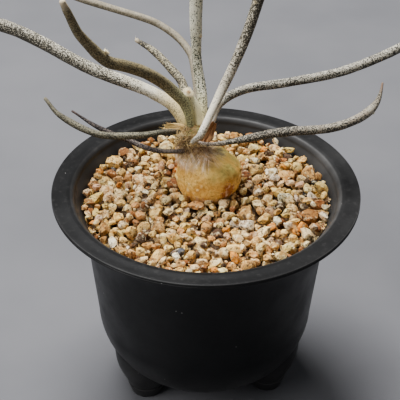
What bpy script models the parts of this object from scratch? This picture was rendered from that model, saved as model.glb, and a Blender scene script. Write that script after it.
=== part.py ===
"""Potted star cactus with long slender tubercles, growing in gravel in a three-footed plastic pot.

Units are metres and +Z is up. The origin lies on the surface that the pot stands on, under the pot's
axis, and the plant's front faces -Y. The sizes below are in millimetres and MM turns them into metres.
"""

import math
import random
from dataclasses import dataclass

import bmesh
import bpy
from mathutils import Euler, Matrix, Vector

MM = 0.001
GAP = 0.3                      # clearance between pieces that touch on the real thing
COLLECTION = "potted_star_cactus"

# Pot: one thin moulding with a flat rim, a slightly tapered wall, a round lower corner and three feet
POT_HEIGHT = 95.0
RIM_RADIUS = 62.0
RIM_THICKNESS = 2.1
RIM_EDGE = 0.5                 # rounding of the rim's outer edge
MOUTH_PROFILE = ((55.8, 0.0), (54.8, 0.25), (53.9, 0.9), (53.0, 1.9))   # the rim turns down into the pot
WALL = 1.6
WALL_RADIUS = 50.7             # the tapered wall's outer radius, carried up to the rim's height
WALL_TAPER = 0.091             # radius lost for each millimetre of depth
SHOULDER_FLARE = 4.6           # how far the wall flares out just under the rim
SHOULDER_DEPTH = 5.0           # depth over which that flare dies away
CORNER_DEPTH = 58.5            # depth below the rim where the round corner starts
CORNER_RADIUS = 28.5
POT_SEGMENTS = 40
WALL_DEPTHS = (4.0, 7.5, 13.0, 24.0)
CORNER_STEPS = 5

# Feet: round lugs that flare upwards into the corner
FOOT_AZIMUTHS = (-55.0, 65.0, 185.0)   # degrees from the front, towards +X
FOOT_CIRCLE = 30.3
FOOT_PROFILE = ((6.2, 0.0), (6.8, 0.6), (8.1, 5.0), (7.9, 5.6), (10.2, 11.2), (12.3, 17.0), (13.1, 23.0))
FOOT_TOP = 26.5
FOOT_SEGMENTS = 18

# Drainage: one hole on the axis and a ring of smaller ones
DRAIN_RADIUS = 5.0
SMALL_DRAIN_RADIUS = 2.2
SMALL_DRAIN_CIRCLE = 12.5
SMALL_DRAINS = 6

# Gravel: the grit that fills the pot, with its top layer of crushed grains
GRAVEL_LEVEL = 90.0
GRAIN_SPACING = 3.7            # radius step of the sunflower pattern that sets the grains out
GRAIN_REACH = 49.7             # no grain reaches past this radius
GRAIN_SIZE = (5.2, 7.6)
GRAIN_SEED = 11

# Caudex: a swollen tuber, half sunk in the gravel, that ends above in a small crown and below in a taproot
TUBER_AXIS = Vector((1.0, 7.0, 0.0))
TUBER_CENTRE_Z = 96.0
TUBER_RADIUS = 13.3
TUBER_HALF_HEIGHT = 12.0
CROWN_CENTRE = Vector((-6.2, 7.6, 114.8))
CROWN_RADIUS = 5.2
LEAN_START = 4.0               # the tuber starts to lean towards the crown this far above its middle
LEAN_RISE = 10.0
ROOT_LENGTH = 27.0
ROOT_BEND = Vector((2.2, 1.1, 0.0))
TAPROOT = ((5.6, 0.0), (3.9, 0.2), (2.6, 0.5), (1.3, 0.96))   # radius, share of the root's length
CAUDEX_SIDES = 24
CAUDEX_HOLE_GAP = 0.35

# Tubercles: rings every RING_STEP along each, with TUBERCLE_SIDES sides
TUBERCLE_SIDES = 8
RING_STEP = 5.5
NECK_LENGTH = 1.6              # each tubercle leaves the crown square to it for this far
SWELL_LENGTH = 14.0            # length over which a tubercle reaches its full girth
TAPER_LENGTH = 16.0            # length over which it narrows to its tip


@dataclass(frozen=True)
class Tubercle:
    """One finger-like tubercle: where it sits on the crown, its girth, and the points it grows through."""

    name: str
    azimuth: float             # degrees about the crown, from +X towards +Y
    elevation: float           # degrees above the crown's equator
    root: float                # radii in millimetres
    body: float
    tip: float
    route: tuple               # points in millimetres, from near the crown outwards


TUBERCLES = (
    Tubercle("tubercle_left_long", 162, 28, 1.85, 2.45, 1.2, (
        (-16.5, 15, 126), (-26.5, 18.5, 130), (-47, 21.5, 137), (-65, 25, 146),
        (-81.5, 27.5, 152.5), (-104, 26.5, 157.5))),
    Tubercle("tubercle_left_arching", 212, 74, 1.65, 2.2, 1.2, (
        (-10.7, 7.3, 131), (-16.5, 5.6, 139.2), (-24, 1.5, 146), (-32, -4, 151.6),
        (-37.2, -7.8, 155.2), (-40.2, -10.6, 162), (-44.4, -14.4, 171), (-48, -18, 179.8), (-50.7, -20, 186))),
    Tubercle("tubercle_left_withered", 107, 17, 1.05, 1.5, 0.8, (
        (-9.5, 26.5, 126), (-14.5, 32.5, 130.5), (-22, 39.5, 135), (-29, 44, 137.5))),
    Tubercle("tubercle_rear", 75, 3, 1.05, 1.4, 0.7, (
        (-5, 25, 125.5), (-7, 36, 134), (-11.5, 43, 140.5), (-24.5, 48.5, 144.5), (-38, 52, 147),
        (-65, 57.5, 153.5))),
    Tubercle("tubercle_upright", 52, 33, 1.5, 1.9, 1.1, (
        (-2.5, 18, 128), (-4, 23, 140), (-4.5, 25.5, 152), (-4.5, 28, 163.5), (-3.5, 31.5, 190))),
    Tubercle("tubercle_right_rising", -80, 12, 1.35, 1.9, 1.1, (
        (-2.2, 0.4, 119.6), (1.2, 4.8, 125.3), (6, 11.5, 133.5), (10.5, 16, 142),
        (15.5, 21, 153.5), (19.5, 24.5, 166), (26, 30, 188.5))),
    Tubercle("tubercle_right_long", 4, 22, 1.45, 1.8, 0.9, (
        (4.5, 15.5, 124), (15, 20, 128.5), (32.5, 20, 132), (53, 22.5, 135.5), (70.5, 25, 142),
        (87.5, 28, 150), (104, 29, 155))),
    Tubercle("tubercle_right_low", -52, -4, 0.85, 1.8, 0.5, (
        (4.8, 0.9, 115.3), (15.5, 2.5, 117.5), (31.5, 5.5, 119), (50.5, 8, 118.5),
        (63, 12, 122.5), (70, 20, 131.5))),
    Tubercle("tubercle_left_low", 203, 25, 0.95, 1.15, 0.6, (
        (-17.3, 4.8, 117.7), (-27, 4, 116.5), (-43, 4, 117), (-57.5, 9, 122), (-64, 14, 127))),
    Tubercle("tubercle_left_thin", 224, -14, 0.8, 0.95, 0.5, (
        (-22, 3.5, 110.5), (-32, 7.5, 112.5), (-43.5, 11.5, 115.5), (-54, 17, 119.5))),
    Tubercle("tubercle_stub", 29, 69, 1.3, 1.75, 1.5, (
        (-5, 11, 126), (-7, 13, 130))),
)


@dataclass(frozen=True)
class DryScale:
    """A withered, papery scale that still clings beside the crown: a pointed leaf with a hollow face."""

    name: str
    root: tuple                # where the middle of its root and its point lie, in millimetres
    end: tuple
    facing: tuple              # the way its hollow face looks
    width: float
    hollow: float              # depth of its hollow face


SCALES = (
    DryScale("dry_scale_left", (-11.6, 9.8, 114.2), (-17.6, 10.3, 116.7), (-0.2, -0.6, 0.75), 3.8, 0.4),
    DryScale("dry_husk_right", (-0.2, 4.4, 111.8), (2.4, 6.4, 120.6), (0.2, -0.9, 0.4), 4.0, 0.8),
)
SCALE_THICKNESS = 0.8
SCALE_CELLS = (6, 4)


def clear_scene():
    """Remove whatever the file holds, so that the model starts from nothing."""
    for item in list(bpy.data.objects):
        bpy.data.objects.remove(item, do_unlink=True)


def collection(name):
    """A collection of that name, linked into the scene."""
    group = bpy.data.collections.new(name)
    bpy.context.scene.collection.children.link(group)
    return group


def material(name, colour, roughness):
    """A plain finish with a colour and a roughness."""
    finish = bpy.data.materials.new(name)
    finish.use_nodes = True
    shader = finish.node_tree.nodes["Principled BSDF"]
    shader.inputs["Base Color"].default_value = (*colour, 1.0)
    shader.inputs["Roughness"].default_value = roughness
    shader.inputs["Metallic"].default_value = 0.0
    finish.diffuse_color = (*colour, 1.0)
    return finish


def mesh_object(name, mesh, group):
    """An object for that mesh in that collection."""
    item = bpy.data.objects.new(name, mesh)
    group.objects.link(item)
    return item


def settled(item):
    """Replace an object's mesh or curve with what its modifiers make of it, its caps welded."""
    bpy.context.view_layer.update()
    evaluated = item.evaluated_get(bpy.context.evaluated_depsgraph_get())
    mesh = bpy.data.meshes.new_from_object(evaluated)
    shape = bmesh.new()
    shape.from_mesh(mesh)
    bmesh.ops.remove_doubles(shape, verts=shape.verts, dist=0.00001)
    shape.to_mesh(mesh)
    shape.free()
    group = item.users_collection[0]
    name = item.name
    place = item.matrix_world.copy()
    bpy.data.objects.remove(item, do_unlink=True)
    solid = mesh_object(name, mesh, group)
    solid.name = name
    solid.matrix_world = place
    return solid


def turned(name, profile, segments, group):
    """A closed turned solid from a profile of (radius, height) that runs from the top to the bottom."""
    mesh = bpy.data.meshes.new(name)
    points = [(r * MM, 0.0, z * MM) for r, z in profile]
    edges = [(i, i + 1) for i in range(len(points) - 1)]
    mesh.from_pydata(points, edges, [])
    item = mesh_object(name, mesh, group)
    screw = item.modifiers.new("turn", "SCREW")
    screw.axis = "Z"
    screw.angle = math.tau
    screw.steps = segments
    screw.render_steps = segments
    screw.use_merge_vertices = True
    screw.merge_threshold = 0.00001
    return settled(item)


def boolean(item, tool, operation):
    """Cut or join a solid with another one and drop the other."""
    step = item.modifiers.new(operation.lower(), "BOOLEAN")
    step.operation = operation
    step.solver = "EXACT"
    step.object = tool
    result = settled(item)
    bpy.data.objects.remove(tool, do_unlink=True)
    return result


def polar(radius, azimuth, height=0.0):
    """The point at an azimuth in degrees from the front of the pot, towards +X, in metres."""
    turn = math.radians(azimuth)
    return Vector((radius * math.sin(turn), -radius * math.cos(turn), height)) * MM


def wall_radius(depth):
    """The outer radius of the pot's wall at a depth under the rim, with the flare of its shoulder."""
    flare = SHOULDER_FLARE * math.exp(-(depth - RIM_THICKNESS) / SHOULDER_DEPTH)
    return WALL_RADIUS - WALL_TAPER * depth + flare


def wall_profile(inset, first_depth):
    """The pot's outline at an inset from its outer face, from a depth near the rim down to the axis."""
    depths = [first_depth] + [d for d in WALL_DEPTHS if d > first_depth]
    outline = [(wall_radius(d) - inset, POT_HEIGHT - d) for d in depths]
    corner_axis = WALL_RADIUS - WALL_TAPER * CORNER_DEPTH - CORNER_RADIUS
    reach = CORNER_RADIUS - inset
    for step in range(CORNER_STEPS + 1):
        turn = math.radians(90 * step / CORNER_STEPS)
        depth = CORNER_DEPTH + reach * math.sin(turn)
        outline.append((corner_axis + reach * math.cos(turn), POT_HEIGHT - depth))
    outline.append((0.0, outline[-1][1]))
    return outline


def make_pot(group, tools, finish):
    """The pot: a turned body with its feet, hollowed out, with its drainage holes."""
    rim = [
        (0.0, POT_HEIGHT),
        (RIM_RADIUS - RIM_EDGE, POT_HEIGHT),
        (RIM_RADIUS, POT_HEIGHT - RIM_EDGE),
        (RIM_RADIUS, POT_HEIGHT - RIM_THICKNESS + RIM_EDGE),
        (RIM_RADIUS - RIM_EDGE, POT_HEIGHT - RIM_THICKNESS),
    ]
    pot = turned("pot", rim + wall_profile(0.0, RIM_THICKNESS), POT_SEGMENTS, group)
    for azimuth in FOOT_AZIMUTHS:
        profile = [(0.0, FOOT_TOP)] + list(reversed(FOOT_PROFILE)) + [(0.0, 0.0)]
        foot = turned("foot", profile, FOOT_SEGMENTS, tools)
        foot.location = polar(FOOT_CIRCLE, azimuth)
        pot = boolean(pot, foot, "UNION")
    mouth = [(0.0, POT_HEIGHT + 1.0), (MOUTH_PROFILE[0][0], POT_HEIGHT + 1.0)]
    mouth += [(radius, POT_HEIGHT - depth) for radius, depth in MOUTH_PROFILE]
    cavity = turned("cavity", mouth + wall_profile(WALL, WALL_DEPTHS[0]), POT_SEGMENTS, tools)
    pot = boolean(pot, cavity, "DIFFERENCE")
    pot = boolean(pot, make_drains(tools), "DIFFERENCE")
    pot.data.materials.append(finish)
    pot.data.set_sharp_from_angle(angle=math.radians(40))
    return pot


def make_drains(tools):
    """The cutter for the drainage holes, which run right through the floor."""
    mesh = bpy.data.meshes.new("drains")
    shape = bmesh.new()
    floor_z = POT_HEIGHT - CORNER_DEPTH - CORNER_RADIUS + WALL / 2
    places = [(Vector((0, 0, 0)), DRAIN_RADIUS, 16)]
    for index in range(SMALL_DRAINS):
        places.append((polar(SMALL_DRAIN_CIRCLE, 360 / SMALL_DRAINS * index), SMALL_DRAIN_RADIUS, 10))
    for place, radius, sides in places:
        bmesh.ops.create_cone(
            shape, cap_ends=True, segments=sides, radius1=radius * MM, radius2=radius * MM,
            depth=4 * WALL * MM, matrix=Matrix.Translation(place + Vector((0, 0, floor_z * MM))))
    shape.to_mesh(mesh)
    shape.free()
    return mesh_object("drains", mesh, tools)


def smooth_route(points, per_span):
    """Points on a smooth curve through the given ones, with a Catmull-Rom spline."""
    ends = [2 * points[0] - points[1]] + points + [2 * points[-1] - points[-2]]
    route = []
    for a, b, c, d in zip(ends, ends[1:], ends[2:], ends[3:]):
        for step in range(per_span):
            u = step / per_span
            route.append(0.5 * (2 * b + (c - a) * u + (2 * a - 5 * b + 4 * c - d) * u * u
                                + (3 * b - a - 3 * c + d) * u ** 3))
    return route + [points[-1]]


def tube(name, route, radii, sides, group, finish):
    """A closed tube along a route in millimetres, with its own radius at each point."""
    curve = bpy.data.curves.new(name, "CURVE")
    curve.dimensions = "3D"
    curve.bevel_depth = MM
    curve.bevel_resolution = sides // 2 - 2
    curve.use_fill_caps = True
    line = curve.splines.new("POLY")
    line.points.add(len(route) - 1)
    for point, place, radius in zip(line.points, route, radii):
        point.co = (*(place * MM), 1.0)
        point.radius = radius
    item = bpy.data.objects.new(name, curve)
    group.objects.link(item)
    item = settled(item)
    item.data.materials.append(finish)
    item.data.shade_smooth()
    return item


def ease(value):
    """A smooth step from 0 to 1."""
    value = max(0.0, min(1.0, value))
    return value * value * (3 - 2 * value)


def crown_direction(azimuth, elevation):
    """The unit vector out of the crown's centre at an azimuth from +X and an elevation."""
    turn = math.radians(azimuth)
    rise = math.radians(elevation)
    return Vector((math.cos(turn) * math.cos(rise), math.sin(turn) * math.cos(rise), math.sin(rise)))


def evenly_spaced(route, step):
    """Points of a fine route at about equal distances, its two ends kept, with the distance at each."""
    travelled = [0.0]
    for before, after in zip(route, route[1:]):
        travelled.append(travelled[-1] + (after - before).length)
    count = max(3, round(travelled[-1] / step))
    spaced = []
    for index in range(count + 1):
        target = travelled[-1] * index / count
        span = max(i for i, distance in enumerate(travelled[:-1]) if distance <= target)
        share = (target - travelled[span]) / (travelled[span + 1] - travelled[span])
        spaced.append((route[span].lerp(route[span + 1], share), target))
    return spaced


def make_tubercle(plan, group, finish):
    """One tubercle: it swells from its root, keeps its girth, and narrows to a rounded tip."""
    outward = crown_direction(plan.azimuth, plan.elevation)
    seat = CROWN_CENTRE + outward * (CROWN_RADIUS + GAP)
    neck = seat + outward * NECK_LENGTH
    fine = smooth_route([neck] + [Vector(p) for p in plan.route], 8)
    spaced = evenly_spaced(fine, RING_STEP)
    length = spaced[-1][1]
    taper = min(TAPER_LENGTH, length / 2)
    route = [seat]
    radii = [plan.root]
    for place, travelled in spaced:
        girth = plan.root + (plan.body - plan.root) * ease(travelled / SWELL_LENGTH)
        narrowing = ease((travelled - length + taper) / taper)
        route.append(place)
        radii.append(girth + (plan.tip - girth) * narrowing)
    heading = (route[-1] - route[-2]).normalized()
    for reach, share in ((0.55, 0.8), (0.85, 0.4)):
        route.append(spaced[-1][0] + heading * plan.tip * reach)
        radii.append(plan.tip * share)
    return tube(plan.name, route, radii, TUBERCLE_SIDES, group, finish)


def caudex_centre(height):
    """Where the caudex's middle lies at a height: it leans over to the crown, and its root bends away."""
    crown_share = ease((height - TUBER_CENTRE_Z - LEAN_START) / LEAN_RISE)
    root_share = max(0.0, TUBER_CENTRE_Z - TUBER_HALF_HEIGHT - height) / ROOT_LENGTH
    centre = TUBER_AXIS.lerp(CROWN_CENTRE, crown_share) + ROOT_BEND * root_share ** 2
    return Vector((centre.x, centre.y, 0.0))


def caudex_profile():
    """The caudex's radius and height, from the top of its crown to the end of its taproot."""
    profile = [(0.0, CROWN_CENTRE.z + CROWN_RADIUS)]
    for rise in (70, 46, 22, 0, -24):
        turn = math.radians(rise)
        profile.append((CROWN_RADIUS * math.cos(turn), CROWN_CENTRE.z + CROWN_RADIUS * math.sin(turn)))
    profile += [(4.9, 110.8), (6.2, 108.6)]
    for rise, radius in ((60, 8.9), (42, 10.6), (22, 12.6), (0, 13.3), (-24, 12.2), (-47, 9.1)):
        height = TUBER_CENTRE_Z + TUBER_HALF_HEIGHT * math.sin(math.radians(rise))
        profile.append((radius, height))
    root_top = TUBER_CENTRE_Z - TUBER_HALF_HEIGHT
    profile += [(radius, root_top - ROOT_LENGTH * share) for radius, share in TAPROOT]
    return profile + [(0.0, root_top - ROOT_LENGTH)]


def make_caudex(name, swell, group):
    """The caudex with its crown and its taproot, grown as one piece, its radii swelled by a margin."""
    profile = caudex_profile()
    swelled = [(radius + swell if radius > 0 else 0.0, height) for radius, height in profile]
    swelled[-1] = (0.0, swelled[-1][1] - swell)
    item = turned(name, swelled, CAUDEX_SIDES, group)
    for point in item.data.vertices:
        point.co += caudex_centre(point.co.z / MM) * MM
    return item


def make_scale(plan, group, finish):
    """A withered scale: a leaf outline bent hollow, thickened from an open surface."""
    start = Vector(plan.root)
    along = Vector(plan.end) - start
    across = along.cross(Vector(plan.facing)).normalized()
    face = across.cross(along).normalized()
    cells_long, cells_wide = SCALE_CELLS
    shape = bmesh.new()
    bmesh.ops.create_grid(shape, x_segments=cells_long, y_segments=cells_wide, size=1.0)
    for point in shape.verts:
        u = (point.co.x + 1) / 2
        v = point.co.y
        half_width = plan.width / 2 * (0.28 + 0.72 * math.sin(math.pi * min(1.0, 0.30 + 0.70 * u)) ** 0.8)
        bow = plan.hollow * (v * v - math.sin(math.pi * u))
        point.co = (start + along * u + across * v * half_width + face * bow) * MM
    mesh = bpy.data.meshes.new(plan.name)
    shape.to_mesh(mesh)
    shape.free()
    item = mesh_object(plan.name, mesh, group)
    skin = item.modifiers.new("thickness", "SOLIDIFY")
    skin.thickness = SCALE_THICKNESS * MM
    skin.offset = 0.0
    item = settled(item)
    item.data.materials.append(finish)
    return item


def add_grain(shape, place, size, chance):
    """Add one crushed grain: the convex hull of a box's corners, each pushed about."""
    turn = Euler((chance.uniform(0, math.tau), chance.uniform(0, math.tau), chance.uniform(0, math.tau)))
    stretch = Vector((1.0, chance.uniform(0.72, 0.95), chance.uniform(0.66, 0.9)))
    corners = []
    for x in (-1, 1):
        for y in (-1, 1):
            for z in (-1, 1):
                corner = Vector((x, y, z)) * stretch * (size / 2 * 0.82)
                corner += Vector([chance.uniform(-0.13, 0.13) * size for axis in range(3)])
                corner.rotate(turn)
                corners.append(shape.verts.new((place + corner) * MM))
    hull = bmesh.ops.convex_hull(shape, input=corners, use_existing_faces=False)
    spare = [item for item in hull["geom_interior"] + hull["geom_unused"] if isinstance(item, bmesh.types.BMVert)]
    bmesh.ops.delete(shape, geom=list(set(spare)), context="VERTS")


def make_grains(group):
    """One object for each grain of the top layer, set out like a sunflower's seeds."""
    chance = random.Random(GRAIN_SEED)
    golden = math.pi * (3 - math.sqrt(5))
    count = int((GRAIN_REACH / GRAIN_SPACING) ** 2)
    for index in range(count):
        size = chance.uniform(*GRAIN_SIZE)
        radius = min(GRAIN_SPACING * math.sqrt(index + 0.5), GRAIN_REACH - size * 0.78)
        turn = golden * index + chance.uniform(-0.01, 0.01)
        place = Vector((radius * math.cos(turn), radius * math.sin(turn), GRAVEL_LEVEL))
        place.z += chance.uniform(-0.7, 0.6)
        beside = (Vector((place.x, place.y, 0)) - TUBER_AXIS).length
        if beside < TUBER_RADIUS + size * 0.3:
            continue
        shape = bmesh.new()
        add_grain(shape, place, size, chance)
        mesh = bpy.data.meshes.new("grain")
        shape.to_mesh(mesh)
        shape.free()
        mesh_object("grain", mesh, group)


def make_gravel(group, tools, finish):
    """The grit that fills the pot: its turned body, the grains of its top, and a hole for the caudex."""
    inset = WALL + GAP
    top_depth = POT_HEIGHT - GRAVEL_LEVEL
    profile = [(0.0, GRAVEL_LEVEL)] + wall_profile(inset, top_depth)
    bed = turned("gravel_bed", profile, POT_SEGMENTS, group)
    grains = collection("grains")
    make_grains(grains)
    step = bed.modifiers.new("join grains", "BOOLEAN")
    step.operation = "UNION"
    step.operand_type = "COLLECTION"
    step.collection = grains
    step.solver = "EXACT"
    step.use_self = True
    bed = settled(bed)
    for grain in list(grains.objects):
        bpy.data.objects.remove(grain, do_unlink=True)
    bpy.data.collections.remove(grains)
    bed = boolean(bed, make_caudex("caudex_hole", CAUDEX_HOLE_GAP, tools), "DIFFERENCE")
    bed.data.materials.clear()
    bed.data.materials.append(finish)
    return bed


def main():
    """Build every piece."""
    clear_scene()
    group = collection(COLLECTION)
    tools = collection("cutters")
    plastic = material("pot_plastic", (0.025, 0.026, 0.029), 0.42)
    grit = material("gravel", (0.56, 0.42, 0.25), 0.9)
    tuber_skin = material("caudex_skin", (0.46, 0.33, 0.14), 0.75)
    speckled = material("tubercle_skin", (0.38, 0.38, 0.27), 0.8)
    papery = material("dry_scale", (0.40, 0.22, 0.10), 0.85)
    make_pot(group, tools, plastic)
    make_gravel(group, tools, grit)
    caudex = make_caudex("caudex", 0.0, group)
    caudex.data.materials.append(tuber_skin)
    caudex.data.shade_smooth()
    for plan in TUBERCLES:
        make_tubercle(plan, group, speckled)
    for plan in SCALES:
        make_scale(plan, group, papery)


main()
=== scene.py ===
"""The looks of a potted star cactus with long slender tubercles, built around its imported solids.

Sizes are in millimetres, in the part's own frame: +Z is up, the origin lies on the surface that the pot
stands on, under the pot's axis, and the plant's front faces -Y. MM turns them into metres where a mesh is
made. Every visible piece replaces the plain solid of the same thing and stays where that solid is.
"""

from __future__ import annotations

import itertools
import logging
import math
from dataclasses import dataclass, field
from enum import Enum

import bmesh
import bpy
import numpy as np
from mathutils import Matrix, Vector

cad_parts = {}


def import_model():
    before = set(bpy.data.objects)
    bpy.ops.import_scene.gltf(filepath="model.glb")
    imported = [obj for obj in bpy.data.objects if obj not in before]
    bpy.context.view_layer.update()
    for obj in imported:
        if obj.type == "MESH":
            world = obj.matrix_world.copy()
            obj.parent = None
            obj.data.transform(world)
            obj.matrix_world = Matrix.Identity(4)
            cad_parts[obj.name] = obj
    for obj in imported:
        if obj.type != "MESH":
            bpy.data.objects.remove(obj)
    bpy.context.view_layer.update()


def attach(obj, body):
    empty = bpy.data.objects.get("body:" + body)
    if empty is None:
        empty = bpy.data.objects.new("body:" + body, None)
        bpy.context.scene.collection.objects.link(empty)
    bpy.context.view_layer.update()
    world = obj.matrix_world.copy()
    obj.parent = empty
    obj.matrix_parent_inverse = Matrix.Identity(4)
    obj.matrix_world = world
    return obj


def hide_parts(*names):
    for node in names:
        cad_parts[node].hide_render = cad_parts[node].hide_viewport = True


LOG = logging.getLogger("potted_star_cactus")
Array = np.ndarray
Colour = tuple[float, float, float]

MM = 0.001
BODY = "root"
GOLDEN_ANGLE = math.pi * (3 - math.sqrt(5))
HASH_PRIMES = np.array((73856093, 19349663, 83492791))
HASH_SEED = 2654435761
HASH_ROUNDS = ((15, 2246822519), (13, 3266489917))
HASH_MASK = 0xFFFFFFFF
HAIR_SIDES = 3
HAIR_AIM = np.array((0.31, -0.83, 0.46))
RING_AIM = np.array((0.13, -1.0, 0.21))
SPLINE_STEPS = 24

POT_HEIGHT = 95.0
TUBER_AXIS = np.array((1.0, 7.0, 0.0))
TUBER_CENTRE_Z = 96.0
TUBER_HALF_HEIGHT = 12.0
CROWN_CENTRE = np.array((-6.2, 7.6, 114.8))


# Shapes


@dataclass
class Surface:
    """A mesh that is still arrays: points, four-sided and three-sided faces, and marks on its points."""

    points: Array
    quads: Array = field(default_factory=lambda: np.zeros((0, 4), dtype=np.int64))
    triangles: Array = field(default_factory=lambda: np.zeros((0, 3), dtype=np.int64))
    marks: dict[str, Array] = field(default_factory=dict)
    sheet: Array | None = None


def joined(parts: list[Surface]) -> Surface:
    """Put several surfaces into one, with the marks that the first one has.

    Args:
        parts: The surfaces.

    Returns:
        One surface that holds them all.
    """
    starts = np.cumsum([0] + [len(part.points) for part in parts[:-1]])
    quads = [part.quads + start for part, start in zip(parts, starts)]
    triangles = [part.triangles + start for part, start in zip(parts, starts)]
    marks = {name: np.concatenate([part.marks[name] for part in parts]) for name in parts[0].marks}
    sheet = None
    if parts[0].sheet is not None:
        sheet = np.concatenate([part.sheet for part in parts])
    return Surface(
        np.concatenate([part.points for part in parts]), np.concatenate(quads),
        np.concatenate(triangles), marks, sheet)


def band_faces(rings: int, sides: int) -> Array:
    """Faces of a grid of points, ring after ring, where each ring closes on itself.

    Args:
        rings: How many rings the grid has.
        sides: How many points lie on each ring.

    Returns:
        The four corners of each face.
    """
    ring = np.arange(rings - 1)[:, None]
    side = np.arange(sides)[None, :]
    beside = (side + 1) % sides
    here, above = ring * sides, (ring + 1) * sides
    return np.stack((here + side, here + beside, above + beside, above + side), axis=-1).reshape(-1, 4)


def circle(sides: int) -> Array:
    """Directions evenly round a circle, as rows of x and y."""
    turn = np.arange(sides) * math.tau / sides
    return np.stack((np.cos(turn), np.sin(turn)), axis=-1)


def arc(middle: tuple, radius: float, start: float, end: float, count: int) -> Array:
    """Points of an arc in the plane of radius and height.

    Args:
        middle: Its centre.
        radius: Its radius.
        start: The angle in degrees that it starts at, 0 outwards and 90 up.
        end: The angle that it ends at.
        count: How many points it has.

    Returns:
        Rows of radius and height.
    """
    turn = np.radians(np.linspace(start, end, count))
    return np.array(middle) + radius * np.stack((np.cos(turn), np.sin(turn)), axis=-1)


def turned(profile: Array, sides: int) -> Array:
    """Rows of radius and height carried round the Z axis, as rings x sides x 3."""
    height = np.broadcast_to(profile[:, None, 1:], (len(profile), sides, 1))
    return np.concatenate((profile[:, None, :1] * circle(sides), height), axis=-1)


def capped(grid: Array, start_pole: Array, end_pole: Array) -> Surface:
    """Close a grid of rings with a point at each end.

    Args:
        grid: The points, as rings x sides x 3.
        start_pole: The point that closes the first ring.
        end_pole: The point that closes the last ring.

    Returns:
        The closed surface, its rings first and its two poles last.
    """
    rings, sides = grid.shape[:2]
    side = np.arange(sides)
    beside = (side + 1) % sides
    count = rings * sides
    last = count - sides
    start_fan = np.stack((np.full(sides, count), beside, side), axis=-1)
    end_fan = np.stack((np.full(sides, count + 1), last + side, last + beside), axis=-1)
    points = np.concatenate((grid.reshape(-1, 3), start_pole[None], end_pole[None]))
    return Surface(points, band_faces(rings, sides), np.concatenate((start_fan, end_fan)))


def ease(value: Array | float) -> Array:
    """A smooth step from 0 to 1: three times the square less twice the cube."""
    share = np.clip(value, 0.0, 1.0)
    return share * share * (3 - 2 * share)


def unit(vectors: Array) -> Array:
    """The same vectors with a length of 1."""
    return vectors / np.maximum(np.linalg.norm(vectors, axis=-1, keepdims=True), 1e-9)


def noise(points: Array, period: float, seed: int = 0) -> Array:
    """Smooth noise from -1 to 1: a chance value at each corner of a cubic lattice, eased between them.

    Args:
        points: Where to read it, as an array whose last axis is x, y, z.
        period: The lattice's step, in the points' own unit.
        seed: Picks another pattern.

    Returns:
        One value for each point.
    """
    cell = points / period
    base = np.floor(cell).astype(np.int64)
    share = ease(cell - base)
    total = np.zeros(points.shape[:-1])
    for corner in itertools.product((0, 1), repeat=3):
        key = np.bitwise_xor.reduce((base + np.array(corner)) * HASH_PRIMES, axis=-1)
        key = (key ^ (seed + 1) * HASH_SEED) & HASH_MASK
        for shift, factor in HASH_ROUNDS:
            key = ((key ^ (key >> shift)) * factor) & HASH_MASK
        value = ((key ^ (key >> 16)) & 0xFFFF) / 32767.5 - 1
        total += value * np.prod(np.where(np.array(corner), share, 1 - share), axis=-1)
    return total


def distances(route: Array) -> Array:
    """How far along a route each of its points lies."""
    return np.concatenate(([0.0], np.cumsum(np.linalg.norm(np.diff(route, axis=0), axis=1))))


def smooth_route(points: Array, step: float) -> Array:
    """Points at even distances along a smooth curve through the given ones (a Catmull-Rom spline).

    Args:
        points: The way points.
        step: About how far apart the new points lie.

    Returns:
        The new points, the first and the last way point among them.
    """
    ends = np.vstack((2 * points[0] - points[1], points, 2 * points[-1] - points[-2]))
    share = np.linspace(0, 1, SPLINE_STEPS, endpoint=False)[:, None]
    spans = []
    for a, b, c, d in zip(ends, ends[1:], ends[2:], ends[3:]):
        bend, twist = 2 * a - 5 * b + 4 * c - d, 3 * b - a - 3 * c + d
        spans.append(0.5 * (2 * b + (c - a) * share + bend * share ** 2 + twist * share ** 3))
    fine = np.vstack(spans + [points[-1:]])
    travelled = distances(fine)
    count = max(4, round(travelled[-1] / step))
    targets = np.linspace(0, travelled[-1], count + 1)
    return np.stack([np.interp(targets, travelled, line) for line in fine.T], axis=-1)


def route_frame(route: Array) -> tuple[Array, Array]:
    """Two directions square to a route and to each other, the first as near to RING_AIM as it can be.

    Args:
        route: The points of the route.

    Returns:
        The two directions, one row for each point.
    """
    tangent = unit(np.gradient(route, axis=0))
    across = unit(RING_AIM - (tangent @ RING_AIM)[:, None] * tangent)
    return across, np.cross(tangent, across)


def rings(across: Array, other: Array, sides: int) -> Array:
    """Directions evenly round each point of a line, from the two that are square to it there."""
    turn = circle(sides)
    return turn[:, :1] * across[..., None, :] + turn[:, 1:] * other[..., None, :]


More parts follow.
